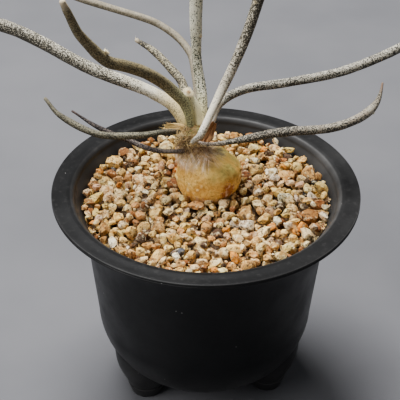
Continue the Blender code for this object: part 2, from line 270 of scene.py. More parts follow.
def hairs(roots: Array, middles: Array, tips: Array, width: Array, steps: int = 5) -> Surface:
    """Many fine three-sided hairs, each a quadratic curve from its root by way of its middle to its tip.

    Args:
        roots: Where each hair starts.
        middles: The point that each hair bends towards.
        tips: Where each hair ends.
        width: Each hair's radius at its root; it narrows evenly to a fifth of that.
        steps: How many rings each hair has.

    Returns:
        One surface of closed hairs, with the mark `along` from 0 at the roots to 1 at the tips.
    """
    share = np.linspace(0, 1, steps)[None, :, None]
    line = roots[:, None] * (1 - share) ** 2 + middles[:, None] * 2 * share * (1 - share)
    line = line + tips[:, None] * share ** 2
    tangent = unit(np.gradient(line, axis=1))
    across = unit(np.cross(tangent, HAIR_AIM))
    radius = width[:, None, None, None] * (1 - 0.8 * share[..., None])
    grid = line[:, :, None] + radius * rings(across, np.cross(tangent, across), HAIR_SIDES)
    count, each = len(roots), steps * HAIR_SIDES
    first = (np.arange(count) * each)[:, None, None]
    quads = band_faces(steps, HAIR_SIDES) + first
    ends = np.array(((2, 1, 0), (each - 3, each - 2, each - 1))) + first
    along = np.tile(np.repeat(np.linspace(0, 1, steps), HAIR_SIDES), count)
    return Surface(grid.reshape(-1, 3), quads.reshape(-1, 4), ends.reshape(-1, 3), {"along": along})


def seeded(seed: int) -> np.random.Generator:
    """A field of a dataclass that holds its own source of random numbers."""
    return field(default_factory=lambda: np.random.default_rng(seed))


def add_piece(
        name: str, shape: Surface, finish: bpy.types.Material, slot: str, *nodes: str,
        crease: float | None = None) -> bpy.types.Object:
    """Make a mesh object from a surface, with its finish, and give it its place among the solids.

    Args:
        name: The piece's name.
        shape: Its surface, in millimetres.
        finish: Its material.
        slot: A name for the piece's material slot; it is not used.
        nodes: The solids that it stands for, if any.
        crease: The angle in degrees from which an edge is left sharp, if any is.

    Returns:
        The new object, at the origin.
    """
    mesh = bpy.data.meshes.new(name)
    fours, threes = len(shape.quads), len(shape.triangles)
    corners = np.concatenate((shape.quads.reshape(-1), shape.triangles.reshape(-1))).astype(np.int32)
    starts = np.concatenate((np.arange(fours) * 4, fours * 4 + np.arange(threes) * 3)).astype(np.int32)
    mesh.vertices.add(len(shape.points))
    mesh.vertices.foreach_set("co", (shape.points * MM).astype(np.float32).reshape(-1))
    mesh.loops.add(len(corners))
    mesh.loops.foreach_set("vertex_index", corners)
    mesh.polygons.add(fours + threes)
    mesh.polygons.foreach_set("loop_start", starts)
    mesh.update(calc_edges=True)
    mesh.validate()
    for title, values in shape.marks.items():
        if values.ndim == 1:
            layer = mesh.attributes.new(title, "FLOAT", "POINT")
            layer.data.foreach_set("value", values.astype(np.float32))
        else:
            layer = mesh.attributes.new(title, "FLOAT_COLOR", "POINT")
            rgba = np.concatenate((values, np.ones((len(values), 1))), axis=1)
            layer.data.foreach_set("color", rgba.astype(np.float32).reshape(-1))
    if shape.sheet is not None:
        layout = mesh.uv_layers.new(name="sheet")
        order = np.empty(len(mesh.loops), dtype=np.int32)
        mesh.loops.foreach_get("vertex_index", order)
        layout.data.foreach_set("uv", shape.sheet[order].astype(np.float32).reshape(-1))
    mesh.shade_smooth()
    if crease is not None:
        mesh.set_sharp_from_angle(angle=math.radians(crease))
    mesh.materials.append(finish)
    piece = bpy.data.objects.new(name, mesh)
    bpy.context.scene.collection.objects.link(piece)
    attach(piece, BODY)
    if nodes:
        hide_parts(*nodes)
    LOG.info("%s: %d faces", name, fours + threes)
    return piece


# Finishes


class Shader:
    """A Principled material that is put together node by node."""

    def __init__(self, name: str, roughness: float, specular: float = 0.5) -> None:
        """Start a material.

        Args:
            name: Its name.
            roughness: The shader's roughness where nothing drives it.
            specular: How strongly it mirrors, as the shader's specular level.
        """
        self.material = bpy.data.materials.new(name)
        self.material.use_nodes = True
        self.tree = self.material.node_tree
        self.surface = self.tree.nodes["Principled BSDF"]
        self.surface.inputs["Roughness"].default_value = roughness
        self.surface.inputs["Specular IOR Level"].default_value = specular
        self.place = self.tree.nodes.new("ShaderNodeTexCoord").outputs["Object"]

    def put(self, socket: bpy.types.NodeSocket, value: object) -> None:
        """Set an input, or link another node's output to it.

        Args:
            socket: The input.
            value: A number, a tuple of three or a socket.
        """
        if isinstance(value, bpy.types.NodeSocket):
            self.tree.links.new(value, socket)
        elif isinstance(value, tuple) and socket.type == "RGBA":
            socket.default_value = (*value, 1.0)
        else:
            socket.default_value = value

    def node(self, kind: str, **inputs: object) -> bpy.types.Node:
        """A new node.

        Args:
            kind: Its type's name, without what all types start with.
            inputs: What goes into its inputs, by their names.

        Returns:
            The node.
        """
        node = self.tree.nodes.new(f"ShaderNode{kind}")
        for name, value in inputs.items():
            self.put(node.inputs[name], value)
        return node

    def sheet(self) -> bpy.types.NodeSocket:
        """The piece's own sheet coordinates, its UV map.

        Returns:
            The coordinates.
        """
        node = self.node("UVMap")
        node.uv_map = "sheet"
        return node.outputs["UV"]

    def mark(self, name: str, kind: str = "Fac") -> bpy.types.NodeSocket:
        """What the mesh carries under a name.

        Args:
            name: The name.
            kind: `Fac` for a value and `Color` for a colour.

        Returns:
            The value or the colour.
        """
        node = self.node("Attribute")
        node.attribute_name = name
        return node.outputs[kind]

    def part(self, vector: bpy.types.NodeSocket, axis: str) -> bpy.types.NodeSocket:
        """One axis of a vector."""
        return self.node("SeparateXYZ", Vector=vector).outputs[axis]

    def upward(self) -> bpy.types.NodeSocket:
        """How far the surface faces up, from -1 to 1."""
        return self.part(self.node("NewGeometry").outputs["Normal"], "Z")

    def along(self, axis: str) -> bpy.types.NodeSocket:
        """Where the place lies along an axis, in metres."""
        return self.part(self.place, axis)

    def stretched(self, place: bpy.types.NodeSocket, scale: tuple) -> bpy.types.NodeSocket:
        """Coordinates stretched along each axis."""
        return self.node("Mapping", Vector=place, Scale=scale).outputs["Vector"]

    def noise(
            self, scale: float, detail: float = 2.0, roughness: float = 0.5, distortion: float = 0.0,
            place: bpy.types.NodeSocket | None = None) -> bpy.types.NodeSocket:
        """A noise texture.

        Args:
            scale: How many features it has in a unit of its coordinates.
            detail: How many finer octaves it adds.
            roughness: How strong those are.
            distortion: How much it is twisted.
            place: Its coordinates, or the object's own if none are given.

        Returns:
            Its value, mostly between 0.3 and 0.7.
        """
        node = self.node(
            "TexNoise", Vector=place or self.place, Scale=scale, Detail=detail, Roughness=roughness,
            Distortion=distortion)
        return node.outputs["Fac"]

    def cells(self, scale: float) -> bpy.types.NodeSocket:
        """The distance to the nearest of many scattered points."""
        return self.node("TexVoronoi", Vector=self.place, Scale=scale).outputs["Distance"]

    def combined(self, operation: str, first: object, second: object) -> bpy.types.NodeSocket:
        """Two values put together.

        Args:
            operation: How, as the name of a math node's operation.
            first: The first value.
            second: The second value.

        Returns:
            The result.
        """
        node = self.node("Math")
        node.operation = operation
        self.put(node.inputs[0], first)
        self.put(node.inputs[1], second)
        return node.outputs[0]

    def sum(self, first: object, second: object) -> bpy.types.NodeSocket:
        """Two values added."""
        return self.combined("ADD", first, second)

    def times(self, first: object, second: object) -> bpy.types.NodeSocket:
        """Two values multiplied."""
        return self.combined("MULTIPLY", first, second)

    def between(
            self, value: object, low: float, high: float, at_low: float = 0.0,
            at_high: float = 1.0) -> bpy.types.NodeSocket:
        """A smooth step of a value.

        Args:
            value: The value.
            low: Where the step starts.
            high: Where the step ends.
            at_low: The result at and below `low`.
            at_high: The result at and above `high`.

        Returns:
            The stepped value.
        """
        node = self.node("MapRange")
        node.interpolation_type = "SMOOTHSTEP"
        for socket, number in zip(node.inputs, (value, low, high, at_low, at_high)):
            self.put(socket, number)
        return node.outputs[0]

    def mix(self, share: object, first: object, second: object, blend: str = "MIX") -> bpy.types.NodeSocket:
        """Two colours mixed.

        Args:
            share: How much of the second there is.
            first: The first colour.
            second: The second colour.
            blend: How the second is laid on the first.

        Returns:
            The mixed colour.
        """
        node = self.node("Mix")
        node.data_type = "RGBA"
        node.blend_type = blend
        # The node has sockets for every type of data; numbers 6, 7 and 2 are the colours' ones.
        self.put(node.inputs[0], share)
        self.put(node.inputs[6], first)
        self.put(node.inputs[7], second)
        return node.outputs[2]

    def bump(self, height: bpy.types.NodeSocket, strength: float, depth: float) -> None:
        """Make a height texture stand out of the surface.

        Args:
            height: The height, from 0 to 1.
            strength: How much of the effect is used.
            depth: The real height in millimetres.
        """
        node = self.node("Bump", Strength=strength, Distance=depth * MM, Height=height)
        self.put(self.surface.inputs["Normal"], node.outputs["Normal"])

    def finished(self, colour: object, roughness: object | None = None) -> bpy.types.Material:
        """Set the colour, and the roughness where a texture drives it.

        Args:
            colour: The base colour.
            roughness: The texture that drives the roughness, if any.

        Returns:
            The material.
        """
        self.put(self.surface.inputs["Base Color"], colour)
        if roughness is not None:
            self.put(self.surface.inputs["Roughness"], roughness)
        return self.material


@dataclass(frozen=True)
class PotPlastic:
    """Satin charcoal plastic: a dusty pale layer with painted sheen on its slopes, more painted sheen on the
    right, painted light bounced from the floor at its foot, and specks on it.
    """

    base: Colour = (0.0030, 0.0031, 0.0034)
    worn: Colour = (0.0060, 0.0062, 0.0066)
    # The pale dusty colour, also used for the painted sheen and the painted bounce light.
    dust_and_light: Colour = (0.30, 0.29, 0.28)
    slope_dust_and_sheen: float = 0.11
    # How much painted floor bounce light the foot gets, and up to what height it fades.
    foot_bounce_light: float = 0.105
    foot_bounce_height: float = 0.040
    # How much more painted sheen the right side gets.
    right_sheen_gain: float = 2.3
    grime: float = 0.04

    def material(self) -> bpy.types.Material:
        """Build the material.

        Returns:
            The finished material.
        """
        shader = Shader("pot_plastic_look", 0.42, 0.18)
        up = shader.upward()
        cloud = shader.noise(38, 4, 0.6)
        colour = shader.mix(shader.between(cloud, 0.35, 0.7), self.base, self.worn)
        # Pale layer on the slopes, such as the band inside the mouth: partly dusty, partly painted sheen.
        slope_dust_and_sheen = shader.times(shader.between(up, 0.10, 0.36), shader.between(up, 0.90, 0.99, 1.0, 0.21))
        slope_dust_and_sheen = shader.times(slope_dust_and_sheen, shader.between(cloud, 0.4, 0.7, 0.4, 0.8))
        # More of it on the right side, as painted sheen.
        slope_dust_and_sheen = shader.times(slope_dust_and_sheen, shader.between(shader.along("X"), 0.012, 0.056, 1.0, self.right_sheen_gain))
        # Pale near the foot, fading upwards: painted light bounced up from the floor.
        low = shader.between(shader.along("Z"), 0.0, self.foot_bounce_height, self.foot_bounce_light, 0.0)
        grime = shader.between(shader.noise(420, 4, 0.8), 0.52, 0.72, 0.0, self.grime)
        speck = shader.between(shader.cells(260), 0.035, 0.06, 1.0, 0.0)
        for share in (
                shader.times(slope_dust_and_sheen, self.slope_dust_and_sheen),
                shader.times(low, shader.between(cloud, 0.35, 0.65, 0.5, 1.0)),
                shader.times(grime, shader.between(up, 0.3, 0.9)),
                shader.times(speck, shader.between(shader.noise(70, 1), 0.56, 0.62))):
            colour = shader.mix(share, colour, self.dust_and_light)
        shader.bump(shader.noise(900, 3, 0.6), 0.25, 0.05)
        gloss = shader.times(
            shader.between(up, -0.4, 0.2, 0.34, 0.15), shader.between(up, 0.85, 0.99, 1.0, 0.4))
        shader.put(shader.surface.inputs["Specular IOR Level"], gloss)
        return shader.finished(colour, shader.between(shader.noise(55, 5, 0.65), 0.3, 0.7, 0.36, 0.52))


@dataclass(frozen=True)
class GritStone:
    """Crushed stone: its own colour from the mesh, mottled, with rusty stains and small dark pits."""

    shade: Colour = (0.50, 0.34, 0.17)
    stain: Colour = (0.30, 0.125, 0.03)
    pale: Colour = (0.94, 0.78, 0.44)
    pit: Colour = (0.045, 0.028, 0.015)

    def material(self) -> bpy.types.Material:
        """Build the material.

        Returns:
            The finished material.
        """
        shader = Shader("grit_look", 0.88, 0.3)
        mottle = shader.between(shader.noise(430, 4, 0.7), 0.44, 0.62, 0.0, 0.9)
        colour = shader.mix(mottle, shader.mark("stone", "Color"), self.shade, "MULTIPLY")
        bleached = shader.between(shader.noise(560, 3, 0.6, 0.3), 0.54, 0.66, 0.0, 0.5)
        colour = shader.mix(bleached, colour, self.pale)
        rusty = shader.between(shader.noise(300, 3, 0.6, 0.4), 0.55, 0.66, 0.0, 0.55)
        colour = shader.mix(rusty, colour, self.stain)
        pits = shader.times(shader.between(shader.noise(760, 3, 0.6), 0.55, 0.62), 0.85)
        colour = shader.mix(pits, colour, self.pit)
        shader.bump(shader.noise(700, 5, 0.72), 1.0, 0.8)
        return shader.finished(colour)


@dataclass(frozen=True)
class DarkSoil:
    """The fine dark matter between the grains."""

    base: Colour = (0.050, 0.030, 0.015)
    pale: Colour = (0.17, 0.10, 0.05)

    def material(self) -> bpy.types.Material:
        """Build the material.

        Returns:
            The finished material.
        """
        shader = Shader("fines_look", 0.95, 0.2)
        colour = shader.mix(shader.between(shader.noise(700, 4, 0.7), 0.4, 0.65), self.base, self.pale)
        shader.bump(shader.noise(900, 4, 0.7), 0.9, 0.6)
        return shader.finished(colour)


@dataclass(frozen=True)
class CaudexSkin:
    """Golden tuber skin: a bruised, streaked shoulder, a green flush (its dark olive partly painted shade), a
    rusty patch, and dark barky streaks that paint shade into the hollow, fold and neck.
    """

    gold: Colour = (0.80, 0.435, 0.085)
    straw: Colour = (0.90, 0.59, 0.155)
    brown: Colour = (0.26, 0.115, 0.025)
    mauve: Colour = (0.50, 0.32, 0.23)
    pink: Colour = (0.98, 0.82, 0.68)
    # Dark olive of the green flush, partly painted shade on the right shoulder.
    olive: Colour = (0.17, 0.145, 0.03)
    rust: Colour = (0.34, 0.10, 0.025)
    scab: Colour = (0.66, 0.42, 0.30)
    # Dark barky colour, also used as painted shade in the hollow, the fold and the neck.
    bark: Colour = (0.042, 0.027, 0.012)
    dusk: Colour = (0.24, 0.125, 0.085)
    tan: Colour = (0.36, 0.235, 0.095)
    leaf: Colour = (0.27, 0.27, 0.07)
    shade: Colour = (0.74, 0.62, 0.44)
    wart: Colour = (0.92, 0.68, 0.28)
    moss: Colour = (0.38, 0.31, 0.075)
    streak_scale: tuple = (1.5, 0.13, 1.0)
    bruise_scale: tuple = (0.80, 0.12, 1.0)

    def flesh(self, shader: Shader, grain: bpy.types.NodeSocket) -> bpy.types.NodeSocket:
        """The golden skin with its freckles, warts, green flush, rust and scabs.

        Args:
            shader: The material.
            grain: The finest noise.

        Returns:
            The colour.
        """
        mottle = shader.noise(150, 5, 0.7)
        colour = shader.mix(shader.between(mottle, 0.36, 0.64), self.gold, self.straw)
        colour = shader.mix(shader.between(grain, 0.42, 0.58, 0.0, 0.8), colour, self.shade, "MULTIPLY")
        freckle = shader.between(shader.noise(900, 3, 0.6), 0.57, 0.66)
        colour = shader.mix(shader.times(freckle, 0.6), colour, self.brown)
        colour = shader.mix(shader.mark("wart"), colour, self.wart)
        # Green flush; its dark olive on the right shoulder is partly painted shade.
        flush = shader.times(shader.mark("green"), shader.between(mottle, 0.35, 0.6, 0.55, 1.0))
        green = shader.mix(shader.between(grain, 0.44, 0.58), self.olive, self.moss)
        colour = shader.mix(flush, colour, green)
        rough = shader.sum(shader.mark("rust"), shader.noise(520, 4, 0.8))
        colour = shader.mix(shader.between(rough, 0.90, 1.22, 0.0, 0.95), colour, self.rust)
        flake = shader.between(shader.noise(560, 3, 0.6, 0.3), 0.52, 0.57)
        return shader.mix(shader.times(shader.between(rough, 0.95, 1.15), flake), colour, self.scab)

    def material(self) -> bpy.types.Material:
        """Build the material.

        Returns:
            The finished material.
        """
        shader = Shader("caudex_look", 0.62, 0.22)
        sheet = shader.sheet()
        grain = shader.noise(640, 4, 0.7)
        colour = self.flesh(shader, grain)
        fine = shader.noise(1.0, 3, 0.6, 0.2, shader.stretched(sheet, self.streak_scale))
        streaks = shader.mix(shader.between(fine, 0.43, 0.54), self.mauve, self.pink)
        bruise = shader.noise(1.0, 2, 0.5, 0.3, shader.stretched(sheet, self.bruise_scale))
        streaks = shader.mix(shader.between(bruise, 0.54, 0.60, 0.0, 0.66), streaks, self.dusk)
        streaks = shader.mix(shader.between(grain, 0.40, 0.60, 0.10, 0.60), streaks, colour)
        colour = shader.mix(shader.mark("shoulder"), colour, streaks)
        leafy = shader.mix(shader.between(shader.noise(260, 3, 0.6), 0.45, 0.6), self.tan, self.leaf)
        leafy = shader.mix(shader.between(fine, 0.50, 0.62, 0.0, 0.8), leafy, self.bark)
        colour = shader.mix(shader.mark("crown"), colour, leafy)
        # The barky mark is partly painted shade: the hollow, the fold and the ring under the crown.
        combed = shader.times(shader.mark("bark"), shader.between(fine, 0.40, 0.56, 1.0, 0.55))
        colour = shader.mix(combed, colour, self.bark)
        shader.bump(shader.sum(fine, shader.noise(1100, 3, 0.6)), 0.7, 0.3)
        return shader.finished(colour)


@dataclass(frozen=True)
class SpeckledSkin:
    """Tubercle skin: dark flesh under a coat of tiny pale flecks, denser where it faces up, which also paints
    the tops lighter and the undersides darker as painted light from above.

    The coat's share is `top_cover_and_light` on the upper side and `under_cover_and_shade` on the underside.
    """

    name: str
    flesh: Colour
    fleck: Colour
    foot: Colour
    end: Colour
    top_cover_and_light: float
    under_cover_and_shade: float
    grain: float = 1950.0

    def material(self) -> bpy.types.Material:
        """Build the material.

        Returns:
            The finished material.
        """
        shader = Shader(self.name, 0.72, 0.3)
        foot = shader.mark("foot")
        # More flecks facing up and fewer facing down: partly the coat's spread, partly painted light and
        # shade.
        wide = shader.between(shader.upward(), -0.75, 0.75, self.under_cover_and_shade, self.top_cover_and_light)
        patch = shader.between(shader.noise(170, 2), 0.3, 0.7, -0.08, 0.08)
        cover = shader.sum(shader.sum(wide, patch), shader.mark("coat"))
        fleck = shader.noise(self.grain, 3, 0.55)
        share = shader.between(shader.sum(fleck, shader.times(cover, 0.30)), 0.625, 0.675)
        aged = shader.between(shader.noise(300, 2), 0.35, 0.65, 0.0, 0.35)
        tint = shader.mix(foot, shader.mix(aged, self.fleck, self.end, "MULTIPLY"), self.foot)
        flesh = shader.mix(shader.times(foot, 0.30), self.flesh, self.foot)
        colour = shader.mix(shader.mark("end"), shader.mix(share, flesh, tint), self.end)
        shader.bump(fleck, 0.5, 0.10)
        return shader.finished(colour)


@dataclass(frozen=True)
class DryFibre:
    """Dead fibre: from one colour at its root to another at its tip, with streaks."""

    name: str
    root: Colour
    tip: Colour
    roughness: float = 0.8
    stain: Colour = (0.62, 0.50, 0.40)

    def material(self) -> bpy.types.Material:
        """Build the material.

        Returns:
            The finished material.
        """
        shader = Shader(self.name, self.roughness, 0.25)
        colour = shader.mix(shader.mark("along"), self.root, self.tip)
        patch = shader.between(shader.noise(500, 2), 0.35, 0.65, 0.0, 0.55)
        colour = shader.mix(patch, colour, self.stain, "MULTIPLY")
        return shader.finished(colour)


@dataclass(frozen=True)
class DryHusk:
    """A dead scale: streaks of dark and light fibre along its length."""

    name: str
    dark: Colour
    light: Colour
    streak_scale: tuple = (2.6, 0.22, 1.0)

    def material(self) -> bpy.types.Material:
        """Build the material.

        Returns:
            The finished material.
        """
        shader = Shader(self.name, 0.7, 0.3)
        streak = shader.noise(1.0, 4, 0.65, 0.15, shader.stretched(shader.sheet(), self.streak_scale))
        colour = shader.mix(shader.between(streak, 0.38, 0.64), self.dark, self.light)
        shader.bump(streak, 0.8, 0.25)
        return shader.finished(colour)


# Pot


@dataclass
class Pot:
    """The pot: a thin turned moulding with a flat rim, a round lower corner, three feet and drain holes."""

    rim_radius: float = 62.0
    rim_edge: float = 0.5
    rim_thickness: float = 2.1
    rim_flat: float = 55.8
    rim_dish: float = 0.10
    rim_bead: float = 0.55
    mouth: tuple = ((54.9, 0.16), (54.2, 0.42), (53.5, 0.95), (53.0, 1.7), (52.6, 2.8))
    mouth_depth: float = 4.0
    wall: float = 1.6
    wall_radius: float = 50.7
    wall_taper: float = 0.091
    shoulder_flare: float = 4.6
    shoulder_depth: float = 5.0
    corner_depth: float = 58.5
    corner_radius: float = 28.5
    segments: int = 192
    crease: float = 50.0
    foot_azimuths: tuple = (-55.0, 65.0, 185.0)
    foot_circle: float = 30.3
    foot_profile: tuple = (
        (6.2, 0.0), (6.8, 0.6), (8.1, 5.0), (7.9, 5.6), (10.2, 11.2), (12.3, 17.0), (13.1, 23.0),
        (13.1, 26.5))
    foot_segments: int = 72
    drain_radius: float = 5.0
    drain_edge: float = 0.25
    small_drain_radius: float = 2.2
    small_drain_circle: float = 12.5
    small_drains: int = 6

    @property
    def floor_z(self) -> float:
        """The height of the floor's underside."""
        return POT_HEIGHT - self.corner_depth - self.corner_radius

    @property
    def corner_axis(self) -> float:
        """The radius at which the centre of the round lower corner lies."""
        return self.wall_radius - self.wall_taper * self.corner_depth - self.corner_radius

    def outer(self, depth: Array | float) -> Array:
        """The wall's outer radius: a straight taper and, below the rim, a flare that decays exponentially."""
        flare = self.shoulder_flare * np.exp(-(depth - self.rim_thickness) / self.shoulder_depth)
        return self.wall_radius - self.wall_taper * depth + flare

    def side(self, depth: Array, inset: float) -> Array:
        """The wall at some depths below the rim, or a line inside it, as rows of radius and height."""
        return np.stack((self.outer(depth) - inset, POT_HEIGHT - depth), axis=-1)

    def corner(self, inset: float, start: float, end: float, count: int) -> Array:
        """The round corner, or an arc inside it, from one angle to another, as rows of radius and height."""
        middle = (self.corner_axis, POT_HEIGHT - self.corner_depth)
        return arc(middle, self.corner_radius - inset, start, end, count)

    def core(self, radius: Array | float) -> Array:
        """The height halfway through the round corner's thickness at a radius."""
        reach = np.clip(radius - self.corner_axis, 0, self.corner_radius - 1)
        return POT_HEIGHT - self.corner_depth - np.sqrt(self.corner_radius ** 2 - reach ** 2) + self.wall / 2

    def rim_outline(self) -> Array:
        """The rim's outline, from under its outer edge over its top to the mouth.

        The upper edge is a quarter circle, and a fine bead runs round the lower one. The top is very slightly
        dished, by a squared sine of the radius.

        Returns:
            Rows of radius and height.
        """
        middle = self.rim_radius - self.rim_edge
        lower = (self.rim_radius - self.rim_bead, POT_HEIGHT - self.rim_thickness + self.rim_bead)
        bead = arc(lower, self.rim_bead, -90, 62, 12)
        crest = arc((middle, POT_HEIGHT - self.rim_edge), self.rim_edge, -8, 90, 9)
        radius = np.linspace(middle - 0.05, self.rim_flat, 44)
        share = (radius - self.rim_flat) / (middle - self.rim_flat)
        top = np.stack((radius, POT_HEIGHT - self.rim_dish * np.sin(math.pi * share) ** 2), axis=-1)
        mouth = np.array((
            (self.rim_flat + 0.6, 0.0), (self.rim_flat, 0.03), *self.mouth,
            (self.outer(self.mouth_depth) - self.wall, self.mouth_depth)))
        bend = smooth_route(mouth * (1, -1) + (0, POT_HEIGHT), 0.2)
        return np.concatenate((bead, crest, top[:-1], bend[3:]))

    def outline(self) -> Array:
        """The closed outline of the whole moulding, from the drain's lower edge outwards and back inside.

        Returns:
            Rows of radius and height.
        """
        low, high = self.floor_z, self.floor_z + self.wall
        edge, bevel = self.drain_radius, self.drain_edge
        near, far = (self.small_drain_circle + way * (self.small_drain_radius + 1) for way in (-1, 1))
        under = np.array(((edge, low + bevel), (edge + bevel, low), (near, low), (far, low)))
        lining = np.array(((far, high), (near, high), (edge + bevel, high), (edge, high - bevel)))
        run = self.corner_depth - self.rim_thickness - 0.35
        depth = self.corner_depth - run * np.linspace(0, 1, 60) ** 0.7
        bend = self.outer(self.rim_thickness)
        ledge = np.array([
            (radius, POT_HEIGHT - self.rim_thickness)
            for radius in (bend + 0.35, bend + 1.2, self.rim_radius - self.rim_edge - 0.2)])
        inner_depth = np.linspace(self.mouth_depth + 0.4, self.corner_depth, 30)
        return np.concatenate((
            under, self.corner(0, -90, -2, 30), self.side(depth, 0), ledge, self.rim_outline(),
            self.side(inner_depth, self.wall), self.corner(self.wall, -3, -90, 24), lining))

    def body(self) -> Surface:
        """The turned moulding: the outline carried round the axis and closed on itself.

        Returns:
            The closed surface.
        """
        grid = turned(self.outline(), self.segments)
        faces = band_faces(len(grid) + 1, self.segments) % (len(grid) * self.segments)
        return Surface(grid.reshape(-1, 3), faces)

    def foot(self, azimuth: float) -> Surface:
        """One foot: a turned lug whose top ends inside the thickness of the pot's round corner.

        Args:
            azimuth: Its place in degrees from the front, towards +X.

        Returns:
            The closed lug.
        """
        profile = smooth_route(np.array(self.foot_profile), 0.5)
        top = np.stack((np.linspace(profile[-1, 0] - 0.5, 0.5, 24), np.full(24, profile[-1, 1])), axis=-1)
        base = np.array([(radius, 0.0) for radius in (0.8, 3.0, 5.6)])
        grid = turned(np.concatenate((base, profile, top)), self.foot_segments)
        place = math.radians(azimuth)
        middle = np.array((self.foot_circle * math.sin(place), -self.foot_circle * math.cos(place)))
        grid[..., :2] += middle
        grid[..., 2] = np.minimum(grid[..., 2], self.core(np.linalg.norm(grid[..., :2], axis=-1)))
        return capped(grid, np.array((*middle, 0.0)), np.array((*middle, self.core(self.foot_circle))))

    def drill(self, piece: bpy.types.Object) -> None:
        """Cut the ring of small drain holes through the floor, and apply the cut to the mesh.

        Args:
            piece: The pot.
        """
        low, high = self.floor_z - 2.0, self.floor_z + self.wall + 2.0
        ring = turned(np.array(((self.small_drain_radius, low), (self.small_drain_radius, high))), 24)
        pin = capped(ring, np.array((0.0, 0.0, low)), np.array((0.0, 0.0, high)))
        away = self.small_drain_circle
        pins = joined([
            Surface(pin.points + (away * sine, -away * cosine, 0.0), pin.quads, pin.triangles)
            for cosine, sine in circle(self.small_drains)])
        mesh = bpy.data.meshes.new("drain_pins")
        mesh.from_pydata((pins.points * MM).tolist(), [], pins.quads.tolist() + pins.triangles.tolist())
        tool = bpy.data.objects.new("drain_pins", mesh)
        bpy.context.scene.collection.objects.link(tool)
        cut = piece.modifiers.new("drains", "BOOLEAN")
        cut.operation = "DIFFERENCE"
        cut.solver = "EXACT"
        cut.object = tool
        bpy.context.view_layer.update()
        result = bpy.data.meshes.new_from_object(piece.evaluated_get(bpy.context.evaluated_depsgraph_get()))
        piece.modifiers.clear()
        piece.data = result
        bpy.data.objects.remove(tool, do_unlink=True)

    def build(self) -> None:
        """Make the moulding and the three feet, as two pieces."""
        finish = PotPlastic().material()
        piece = add_piece("pot_moulding", self.body(), finish, "pot_plastic", "pot")
        self.drill(piece)
        piece.data.set_sharp_from_angle(angle=math.radians(self.crease))
        feet = joined([self.foot(azimuth) for azimuth in self.foot_azimuths])
        add_piece("pot_feet", feet, finish, "pot_plastic", "pot", crease=self.crease)


# Gravel


class Stone(Enum):
    """The colours of the crushed stone, each with its share of all grains."""

    CREAM = ((0.90, 0.68, 0.33), 0.30)
    STRAW = ((0.80, 0.54, 0.17), 0.25)
    TAN = ((0.52, 0.28, 0.085), 0.18)
    ROSE = ((0.70, 0.45, 0.25), 0.06)
    RUST = ((0.30, 0.12, 0.03), 0.08)
    ORANGE = ((0.68, 0.27, 0.03), 0.02)
    CHALK = ((0.95, 0.82, 0.58), 0.09)
    BROWN = ((0.09, 0.05, 0.025), 0.04)
    SLATE = ((0.07, 0.072, 0.075), 0.01)

    def __init__(self, colour: Colour, share: float) -> None:
        """Keep the colour and the share."""
        self.colour = colour
        self.share = share


def stone_form(corners: int) -> tuple[Array, Array]:
    """Directions along a golden spiral over the sphere, and the faces of their hull.

    Args:
        corners: How many directions there are.

    Returns:
        The directions, and the three corners of each face.
    """
    step = np.arange(corners)
    height = 1 - (2 * step + 1) / corners
    turn = step * GOLDEN_ANGLE
    level = np.sqrt(1 - height ** 2)
    points = np.stack((level * np.cos(turn), level * np.sin(turn), height), axis=-1)
    hull = bmesh.new()
    for point in points:
        hull.verts.new(point)
    hull.verts.index_update()
    bmesh.ops.convex_hull(hull, input=hull.verts)
    faces = np.array([[corner.index for corner in face.verts] for face in hull.faces])
    hull.free()
    a, b, c = (points[faces[:, index]] for index in range(3))
    inward = np.einsum("ij,ij->i", np.cross(b - a, c - a), a + b + c) < 0
    faces[inward] = faces[inward][:, ::-1]
    return points, faces


@dataclass(frozen=True)
class Cut:
    """How stones are cut.

    `corners` is the number of points on each one's mesh, `planes` that of the chance planes that cut it, from
    `nearest` times its half size outwards. `lumps` and `grit` are the heights of its bulges and its grain.
    """

    corners: int
    planes: int
    sharpness: float
    size: float
    nearest: float = 0.62
    lumps: float = 0.16
    grit: float = 0.05
    tilt: float = 0.42


COARSE = Cut(32, 11, 11.0, 1.08)
TINY = Cut(12, 6, 8.0, 1.0)


